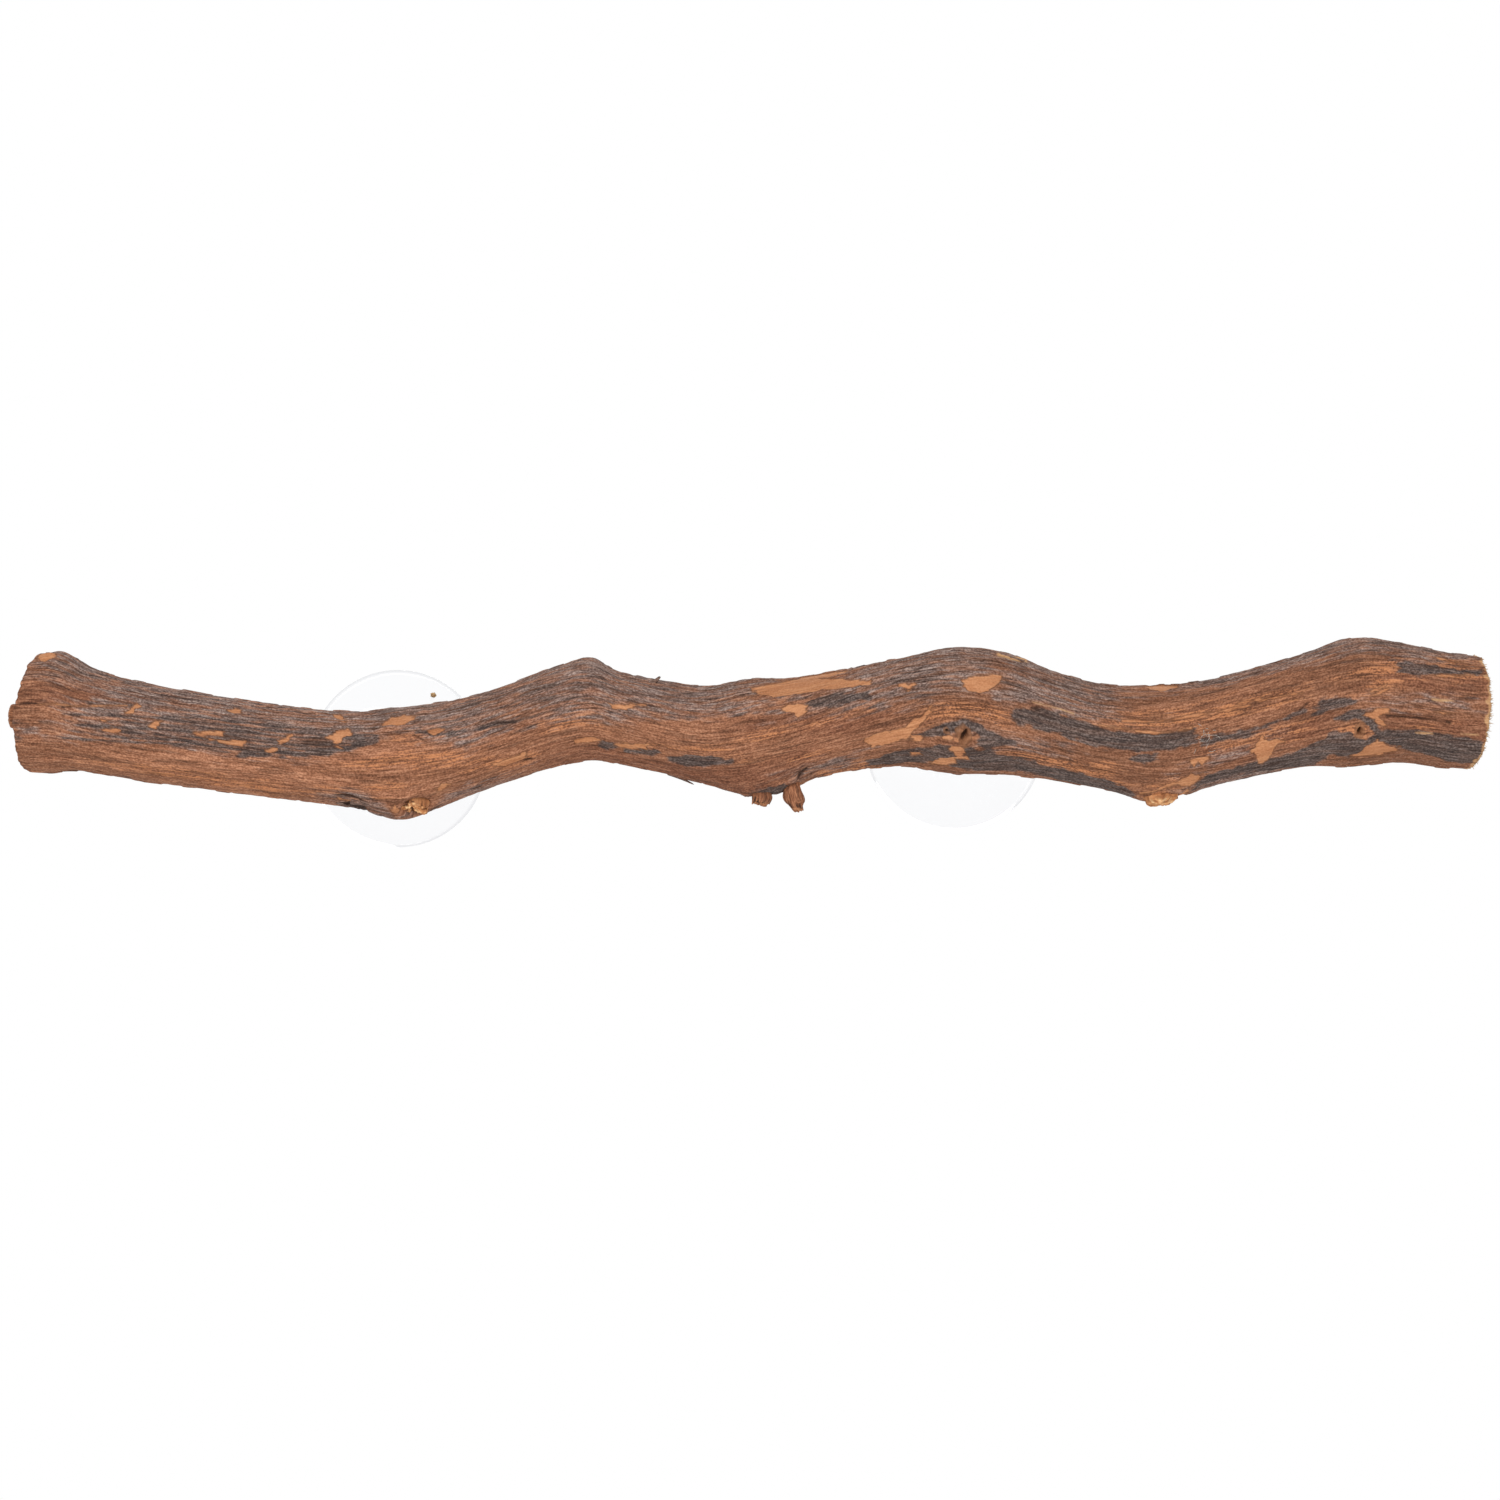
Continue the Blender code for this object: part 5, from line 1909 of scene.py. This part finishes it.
        # Painted shade in the end's recesses: dark where the tear sinks the end
        hollow = ease(-(self.fibre_hollow_shade * fibre + self.chunk_hollow_shade * chunk), *self.hollow_shade_span)
        hollow = hollow * at_end * ease(form.tear, *self.hollow_shade_tear)
        skin = 1 - self.skin_loss * at_end * ease(self.skin_edge - inner, 0.0, self.skin_soft)
        skin = skin + self.skin_uneven * chunk
        grain = np.stack([reach, flat_x, flat_y], axis=-1)
        attributes = {"hollow": hollow, "skin": np.clip(skin, 0, 1), "grain": grain}
        points = surface + out * reach[..., None] + across
        faces = grid_faces(len(along), self.columns)
        return make_piece(f"{form.node}_torn", points, faces, material, attributes)


@dataclass(frozen=True)
class Sliver:
    """A loose blade of bark: its root's pixel place, its way along the stem, length, half width and lift."""

    name: str
    column: float
    row: float
    way: float
    length: float
    half_width: float
    lift: float


SLIVERS = (
    Sliver("elbow_tall", 648, 681, 1.0, 3.2 * MM, 0.6 * MM, 0.75),
    Sliver("elbow_upright", 651, 682, 1.0, 2.6 * MM, 0.5 * MM, 0.95),
    Sliver("elbow_backward", 657, 682, -1.0, 1.3 * MM, 0.4 * MM, 0.70),
    Sliver("crest", 1008, 656, 1.0, 4.6 * MM, 0.6 * MM, 0.20),
    Sliver("under_elbow", 666, 776, 1.0, 7.6 * MM, 1.0 * MM, 0.19),
    Sliver("skirt_first", 332, 802, 1.0, 5.0 * MM, 1.4 * MM, 0.16),
    Sliver("skirt_second", 343, 806, 1.0, 6.0 * MM, 1.7 * MM, 0.13),
    Sliver("skirt_third", 350, 799, 1.0, 6.0 * MM, 1.9 * MM, 0.12),
    Sliver("skirt_fourth", 359, 810, 1.0, 6.0 * MM, 1.6 * MM, 0.13),
    Sliver("skirt_fifth", 372, 815, 1.0, 5.0 * MM, 1.4 * MM, 0.15),
    Sliver("skirt_backward", 392, 818, -1.0, 4.5 * MM, 1.2 * MM, 0.22),
    Sliver("knot_lip", 428, 813, 1.0, 3.6 * MM, 0.9 * MM, 0.18),
    Sliver("knot_right", 452, 797, -1.0, 6.0 * MM, 0.8 * MM, 0.14),
    Sliver("stub_backward", 780, 792, -1.0, 2.4 * MM, 0.9 * MM, 0.60),
    Sliver("stub_steep", 776, 793, 1.0, 2.0 * MM, 0.8 * MM, 0.70),
    Sliver("stub_short", 783, 792, 1.0, 1.6 * MM, 0.7 * MM, 0.60),
    Sliver("right_knot", 1136, 795, 1.0, 3.4 * MM, 0.7 * MM, 0.24),
    Sliver("hump_left", 1356, 641, -1.0, 3.0 * MM, 0.7 * MM, 0.20),
    Sliver("hump_right", 1366, 641, 1.0, 3.0 * MM, 0.6 * MM, 0.20),
    Sliver("right_top", 1210, 681, -1.0, 2.2 * MM, 0.5 * MM, 0.24),
    Sliver("left_scar", 64, 655, 1.0, 3.4 * MM, 1.2 * MM, 0.24),
    Sliver("left_underside", 118, 775, 1.0, 4.0 * MM, 0.7 * MM, 0.14),
)


@dataclass
class Slivers:
    """Loose bark slivers, saw-cut fibres and fine threads. Each is a tapered strand."""

    bark: Bark
    seed: int = 5
    blade_steps: int = 14
    blade_sides: int = 8
    blade_root: float = 0.4 * MM
    blade_thickness: float = 0.5 * MM
    blade_sway: float = 0.35
    blade_curl: float = 1.5
    blade_uneven: float = 0.25
    # A blade's sway and width change this fast along it, and from one blade to the next
    sway_waves: Span = (5, 1)
    width_waves: Span = (9, 2)
    # Strands thin out towards a place just past their ends
    blade_tip: float = 1.02
    tip: float = 1.05
    fibre_count: int = 2400
    fibre_steps: int = 5
    fibre_sides: int = 4
    fibre_band: float = 0.7 * MM
    fibre_inset: float = 0.05 * MM
    fibre_root: float = 0.3 * MM
    fibre_scale: float = 0.24 * MM
    fibre_lengths: Span = (0.3 * MM, 1.6 * MM)
    fibre_halves: Span = (0.08 * MM, 0.20 * MM)
    fibre_behind: float = 0.55
    fibre_shape: float = 2.5
    fibre_flare: Span = (0.05, 0.30)
    fibre_scatter: float = 0.22
    fibre_curl: float = 0.35
    fibre_flatness: float = 0.6
    # The threads' middle, spread and arc sizes are in pixels
    thread_count: int = 16
    thread_steps: int = 14
    thread_sides: int = 5
    thread_column: float = 1206
    thread_row: float = 739
    thread_spread: Span = (6, 8)
    thread_sizes: Span = (4, 9)
    thread_turns: Span = (0.5, 1.8)
    thread_rise: float = 0.25 * MM
    thread_half: float = 0.04 * MM
    thread_flat: Triple = (0.3, -1.0, 0.2)

    def build(self, sliver: Material, straw: Material, thread: Material) -> list[Object]:
        """Make the loose pieces, with their grain along the stem.

        Args:
            sliver: finish of the slivers.
            straw: finish of the saw-cut fibres.
            thread: finish of the threads.

        Returns:
            The slivers, the fibres and the threads, a piece each.
        """
        pieces = []
        for name, (points, faces), skin, material in (
            ("bark_slivers", self._blades(), 1.0, sliver),
            ("cut_fibres", self._fibres(), 0.0, straw),
            ("fine_threads", self._threads(), 0.0, thread),
        ):
            flat = np.zeros(len(points))
            attributes = {"grain": points, "hollow": flat, "skin": flat + skin}
            pieces.append(make_piece(name, points, faces, material, attributes))
        return pieces

    def _blades(self) -> Pair:
        """The slivers that stand off the outline: blades that rise from the bark, sway and thin to a point.

        Returns:
            Their vertices and quads.
        """
        stem = self.bark.stem
        names = ("column", "row", "way", "length", "half_width", "lift")
        columns, rows, ways, lengths, halves, lifts = (
            np.array([getattr(sliver, name) for sliver in SLIVERS])[:, None] for name in names
        )
        x, angle = self.bark.view.on_stem(columns, rows)
        t = np.linspace(0, 1, self.blade_steps)
        number = np.arange(len(SLIVERS))[:, None]
        sway = np.sin(self.sway_waves[0] * t + self.sway_waves[1] * number)
        turn = angle + self.blade_sway * halves / stem.wrap_radius * sway
        rise = -self.blade_root + lengths * lifts * t**self.blade_curl
        paths = stem.points(stem.share_at(x + ways * lengths * t), turn, rise)
        across = np.cross(stem.outwards(angle[:, 0]), ALONG_STEM * ways)
        uneven = 1 + self.blade_uneven * np.sin(self.width_waves[0] * t + self.width_waves[1] * number)
        widths = halves * np.sqrt(np.clip(self.blade_tip - t, 0, 1)) * uneven
        depths = self.blade_thickness * np.sqrt(self.tip - t) * np.ones_like(widths)
        return strand_mesh(paths, across, widths, depths, self.blade_sides)

    def _fibres(self) -> Pair:
        """The furry edge that the saw left on the right cut.

        Short fibres start near the rim of the cut, point along the stem and spread, and each bends a little.

        Returns:
            Their vertices and quads.
        """
        count, stem = self.fibre_count, self.bark.stem
        random = np.random.default_rng(self.seed)
        angle = random.uniform(0, 2 * np.pi, count)
        inset = np.abs(random.normal(0, self.fibre_band, count)) + self.fibre_inset
        roots = stem.points(np.ones(count), angle, -inset)
        roots[:, 0] -= self.fibre_root
        out = stem.outwards(angle)
        front = self.fibre_behind + (1 - self.fibre_behind) * np.clip(np.sin(angle), 0, 1)
        length = front * random.gamma(self.fibre_shape, self.fibre_scale, count).clip(*self.fibre_lengths)
        way = ALONG_STEM + random.normal(*self.fibre_flare, (count, 1)) * out
        way = unit(way + random.normal(0, self.fibre_scatter, (count, 3)))
        curl = np.cross(way, random.normal(0, 1, (count, 3)))
        t = np.linspace(0, 1, self.fibre_steps)
        paths = roots[:, None] + way[:, None] * (length[:, None] * t)[..., None]
        paths = paths + self.fibre_curl * curl[:, None] * (length[:, None] * t**2)[..., None]
        widths = random.uniform(*self.fibre_halves, (count, 1)) * np.sqrt(self.tip - t)
        return strand_mesh(paths, out, widths, self.fibre_flatness * widths, self.fibre_sides)

    def _threads(self) -> Pair:
        """A few fine pale threads caught on the bark, as short bent arcs that follow its surface.

        Returns:
            Their vertices and quads.
        """
        each, stem = (self.thread_count, 1), self.bark.stem
        random = np.random.default_rng(self.seed + 1)
        t = np.linspace(0, 1, self.thread_steps)
        start = random.uniform(0, 2 * np.pi, each)
        turn = start + random.uniform(*self.thread_turns, each) * random.choice([-1, 1], each) * t
        size = random.uniform(*self.thread_sizes, each)
        column = self.thread_column + random.normal(0, self.thread_spread[0], each)
        row = self.thread_row + random.normal(0, self.thread_spread[1], each)
        column = column + size * (np.cos(turn) - np.cos(start))
        row = row + size * (np.sin(turn) - np.sin(start))
        x, angle = self.bark.view.on_stem(column, row)
        rise = self.thread_rise + self.thread_rise * np.sin(np.pi * t) * random.uniform(0, 1, each)
        paths = stem.points(stem.share_at(x), angle, rise)
        widths = np.full(paths.shape[:2], self.thread_half)
        return strand_mesh(paths, np.tile(self.thread_flat, each), widths, widths, self.thread_sides)


@dataclass
class SuctionCup:
    """A clear suction cup in its node's box: a dish, and a neck that holds the stud's head."""

    node: str
    lip_width: float = 1.5 * MM
    lip_edge: float = 0.3 * MM
    lip_wall: float = 1.1 * MM
    lip_start: float = 0.5 * MM
    lip_band: Span = (1.2 * MM, 0.3 * MM)
    dish_depth: float = 8.0 * MM
    hub_wall: float = 3.4 * MM
    hub_middle: float = 2.5 * MM
    neck_radius: float = 5.0 * MM
    neck_bevel: float = 0.6 * MM
    bevel_shares: tuple[Span, ...] = ((0.1, 0.85), (0.9, 0.1))
    fillet: float = 1.6 * MM
    head_plane: float = 12.2 * MM
    head_radius: float = 3.7 * MM
    head_height: float = 2.3 * MM
    pocket_floor: float = 0.3 * MM
    bore: float = 2.3 * MM
    round_edge: float = 0.1 * MM
    joint_gap: float = 0.02 * MM
    hub_step: float = 0.05 * MM
    hollow_rows: int = 44
    rim_rows: int = 11
    outside_rows: int = 40
    fillet_rows: int = 9
    steps: int = 128
    # The crumb of bark that clings to the left cup: its pixel place, radius, grid and noise
    crumb_column: float = 433.5
    crumb_row: float = 695.0
    crumb_radius: float = 0.75 * MM
    crumb_sunk: float = 0.6
    crumb_grid: tuple[int, int] = (13, 16)
    crumb_uneven: float = 0.25
    crumb_cells: float = 2.2
    crumb_seed: int = 61
    crumb_passes: int = 4

    def __post_init__(self) -> None:
        """Take the cup's place and size from its node's box."""
        low, self.high = node_corners(self.node)
        self.middle = (low + self.high) / 2
        self.radius = (self.high[0] - low[0]) / 2
        self.height = self.high[1] - low[1]

    def _cap(self, r: Array, edge: float) -> Array:
        """Depth of a spherical cap behind its edge."""
        ball = (edge**2 + self.dish_depth**2) / (2 * self.dish_depth)
        return np.sqrt(ball**2 - r**2) - (ball - self.dish_depth)

    def outside_profile(self) -> Array:
        """The dish's outside: the hollow's cap with a wall that thickens evenly from the lip to the hub.

        Returns:
            Rows of radius and distance from the lip's plane, from the lip inwards.
        """
        reach = np.linspace(self.radius - self.lip_start, self.neck_radius + self.fillet, self.outside_rows)
        share = (self.radius - reach) / (self.radius - self.neck_radius)
        wall = self.lip_wall + (self.hub_wall - self.lip_wall) * share
        return np.stack([reach, self._cap(reach, self.radius) + wall], -1)

    def dish_profile(self) -> Array:
        """The dish's closed outline, from its hollow's middle over the lip to the hub's flat top.

        The hollow is a spherical cap, the lip a half circle, and a fillet leads from the outside to the hub.

        Returns:
            Rows of radius and distance from the lip's plane.
        """
        lip, edge = self.radius - self.lip_width, self.lip_edge
        inside = np.linspace(0, lip, self.hollow_rows)
        hollow = np.stack([inside, self._cap(inside, lip)], -1)
        turn = np.linspace(-np.pi / 2, np.pi / 2, self.rim_rows)
        rim = np.stack([self.radius - edge + edge * np.cos(turn), edge + edge * np.sin(turn)], -1)
        outside = self.outside_profile()
        foot, start = outside[-1]
        bend = np.linspace(0, np.pi / 2, self.fillet_rows)[1:]
        fillet = np.stack([foot - self.fillet * np.sin(bend), start + self.fillet * (1 - np.cos(bend))], -1)
        top = start + self.fillet + self.joint_gap
        hub = np.array([[reach, top] for reach in (self.neck_radius - self.hub_step, self.hub_middle, 0.0)])
        return np.concatenate([hollow, rim, outside, fillet, hub])

    def neck_profile(self, start: float) -> Array:
        """The neck's closed outline, from the hub's top over its outside to the stud's bore and pocket.

        Args:
            start: distance of the hub's top from the lip's plane.

        Returns:
            Rows of radius and distance from the lip's plane.
        """
        begin, end, bevel, small = start + self.joint_gap, self.height, self.neck_bevel, self.round_edge
        neck, head, bore = self.neck_radius, self.head_radius, self.bore
        pocket, floor = self.head_plane + self.head_height, self.head_plane - self.pocket_floor
        foot = [(0.0, begin), (0.5 * neck, begin), (neck - small, begin), (neck, begin + small)]
        side = [(neck, 0.5 * (begin + end)), (neck, end - bevel - small)]
        rim = [(neck - inwards * bevel, end - down * bevel) for inwards, down in self.bevel_shares]
        top = [(neck - bevel - small, end), (bore + small, end), (bore, end - small)]
        ceiling = [(bore, pocket + small), (bore + small, pocket), (head - small, pocket)]
        wall = [(head, pocket - small), (head, floor + small), (head - small, floor), (0.0, floor)]
        return np.array([*foot, *side, *rim, *top, *ceiling, *wall])

    def _turn(self, name: str, outline: Array, material: Material) -> Object:
        """Carry an outline round the cup's axis.

        Args:
            name: the piece's name.
            outline: rows of radius and distance from the lip's plane, from pole to pole.
            material: its finish.

        Returns:
            The piece.
        """
        turn = circle(self.steps)
        reach, depth = (np.repeat(outline[:, column, None], self.steps, axis=1) for column in (0, 1))
        x, z = self.middle[0] + reach * np.cos(turn), self.middle[2] + reach * np.sin(turn)
        points = np.stack([x, self.high[1] - depth, z], axis=-1)
        lip = ease(reach, *(self.radius - inset for inset in self.lip_band))
        return make_piece(name, points, grid_faces(len(outline), self.steps), material, {"lip": lip})

    def build(self, material: Material) -> tuple[Object, Object, float]:
        """Make the dish and the neck.

        Args:
            material: their finish.

        Returns:
            The dish, the neck and the dish's height.
        """
        outline = self.dish_profile()
        top = float(outline[-1, 1])
        dish = self._turn(f"{self.node}_dish", outline, material)
        neck = self._turn(f"{self.node}_neck", self.neck_profile(top), material)
        return dish, neck, top

    def crumb(self, view: PhotoView, material: Material) -> Object:
        """A crumb of bark that clings to the dish's outside: a ball made uneven by noise.

        Args:
            view: the photograph's camera.
            material: its finish.

        Returns:
            The piece.
        """
        reach, height = self.outside_profile().T
        depth = 0.0
        for _ in range(self.crumb_passes):
            near = 1 + (self.high[1] - depth - view.stem.axis) / view.distance
            x, z = view.seen_at(self.crumb_column, self.crumb_row, near)
            apart = math.hypot(x - self.middle[0], z - self.middle[2])
            depth = float(np.interp(-apart, -reach, height))
        rows, columns = self.crumb_grid
        tilt = np.linspace(0, np.pi, rows)[:, None]
        turn = circle(columns)[None, :]
        level = np.sin(tilt)
        ball = np.stack([level * np.cos(turn), np.cos(tilt) + 0 * turn, level * np.sin(turn)], -1)
        bumps = Noise(self.crumb_seed).at(*np.moveaxis(self.crumb_cells * ball, -1, 0))
        size = self.crumb_radius * (1 + self.crumb_uneven * bumps)
        centre = np.array([x, self.high[1] - depth - self.crumb_sunk * self.crumb_radius, z])
        points = centre + ball * size[..., None]
        flat = np.zeros((rows, columns))
        attributes = {"grain": points, "hollow": flat, "skin": flat}
        return make_piece("bark_crumb", points, grid_faces(rows, columns), material, attributes)


@dataclass(frozen=True)
class Lamp:
    """A square soft lamp: where it stands, its power in watts and its side."""

    name: str
    place: Triple
    power: float
    side: float = 1.0


@dataclass
class Studio:
    """A pale floor below the frame, a white surround and soft lamps at a plain level."""

    floor_height: float = -0.30
    floor_width: float = 1.3
    floor_near: float = -0.95
    floor_far: float = 0.38
    floor_pale: tuple[Triple, Triple] = ((0.83, 0.83, 0.83), (0.87, 0.87, 0.87))
    floor_roughness: float = 0.9
    floor_speck: Cloud = Cloud((30.0, 30.0, 30.0), 2.0, span=None)
    ambient: float = 0.62
    aim: Triple = (0.02, -0.028, 0.0)
    lamps: tuple[Lamp, ...] = (
        Lamp("key", (-0.50, -1.40, 0.55), 10.0),
        Lamp("fill", (0.80, -1.25, -0.22), 6.3),
        Lamp("back", (0.3, 1.30, 0.75), 8.0),
    )

    def build(self) -> None:
        """Make the floor, the world and the lamps, and set the view transform."""
        bpy.context.scene.view_settings.view_transform = "Standard"
        self._floor()
        self._world()
        for lamp in self.lamps:
            self._light(lamp)

    def _floor(self) -> None:
        """The pale floor, short enough to stay out of the photograph's frame."""
        half, near, far, z = self.floor_width / 2, self.floor_near, self.floor_far, self.floor_height
        points = np.array([[-half, near, z], [half, near, z], [half, far, z], [-half, far, z]])
        material, nodes = new_material("pale_floor")
        colour = nodes.blend(nodes.noise(nodes.place(), self.floor_speck), *self.floor_pale)
        shader = material.node_tree.nodes["Principled BSDF"]
        nodes.feed(shader, {"Base Color": colour, "Roughness": self.floor_roughness})
        make_piece("floor", points, np.array([[0, 1, 2, 3]]), material)

    def _world(self) -> None:
        """White to the camera and in gloss and glass, and a plain soft light on everything else."""
        world = bpy.data.worlds.new("soft_white")
        bpy.context.scene.world = world
        world.use_nodes = True
        nodes = Nodes(world.node_tree)
        path = nodes.add("ShaderNodeLightPath").outputs
        seen = nodes.math("MAXIMUM", path["Is Camera Ray"], path["Is Glossy Ray"])
        seen = nodes.math("MAXIMUM", seen, path["Is Transmission Ray"])
        strength = nodes.add("ShaderNodeMapRange", {"Value": seen, "To Min": self.ambient, "To Max": 1.0})
        links = {"Color": (1.0, 1.0, 1.0), "Strength": strength.outputs[0]}
        nodes.feed(world.node_tree.nodes["Background"], links)

    def _light(self, lamp: Lamp) -> None:
        """Stand a lamp in the scene, facing the stem.

        Args:
            lamp: the lamp.
        """
        light = bpy.data.lights.new(lamp.name, "AREA")
        light.shape, light.size, light.energy = "SQUARE", lamp.side, lamp.power
        stand = bpy.data.objects.new(lamp.name, light)
        stand.location = lamp.place
        facing = Vector(self.aim) - Vector(lamp.place)
        stand.rotation_euler = facing.to_track_quat("-Z", "Y").to_euler()
        bpy.context.scene.collection.objects.link(stand)


def settle(piece: Object, body: str, slot: str, *nodes: str) -> None:
    """Give a finished piece its body, and hide the nodes that it stands for.

    Args:
        piece: the piece.
        body: the body that it rides on.
        slot: not used.
        nodes: the nodes that it replaces.
    """
    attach(piece, body)
    if nodes:
        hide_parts(*nodes)
    LOG.info("made %s, with %d faces", piece.name, len(piece.data.polygons))


def build_cups(view: PhotoView, crumb_finish: Material) -> None:
    """Make both suction cups.

    Args:
        view: the photograph's camera.
        crumb_finish: finish of the crumb that clings to the left cup.
    """
    clear = ClearFinish().material()
    for side in ("left", "right"):
        cup = SuctionCup(f"{side}_suction_cup")
        dish, neck, top = cup.build(clear)
        settle(dish, f"{side}_cup", "clear_pvc", cup.node)
        settle(neck, f"{side}_stud", "clear_pvc", cup.node)
        soft = [dish]
        if side == "left":
            soft.append(cup.crumb(view, crumb_finish))
            settle(soft[-1], f"{side}_cup", "bark")
        for piece in soft:
            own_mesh(piece)


def main() -> None:
    """Build the scene on the frame, piece by piece."""
    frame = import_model()
    logging.basicConfig(level=logging.INFO, format="%(name)s: %(message)s")
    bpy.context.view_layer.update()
    stem = Stem()
    view = PhotoView(stem)
    view.add_camera()
    Studio().build()

    grain = Grain().group()
    finishes = (GOLDEN, TORN, SLIVER, STRAW, THREAD)
    golden, torn, sliver, straw, thread = (finish.material(grain) for finish in finishes)
    bark = Bark(stem, view)
    for piece in bark.build(BarkFinish().material(grain)):
        settle(piece, "branch", "bark", "bark")
    for piece in Knots(stem).build(golden, torn):
        settle(piece, "branch", "wood", piece.name.removesuffix("_torn"))
    for piece, slot in zip(Slivers(bark).build(sliver, straw, thread), ("bark", "wood", "bark")):
        settle(piece, "branch", slot)
    build_cups(view, straw)
    sawn, zinc = SawnFinish().material(grain), ZincFinish().material()
    for node, material in (("wood_core", sawn), ("left_stud", zinc), ("right_stud", zinc)):
        held = frame["nodes"][node].data.materials
        held.clear()
        held.append(material)
        LOG.info("gave %s its finish", node)


if __name__ == "__main__":
    main()
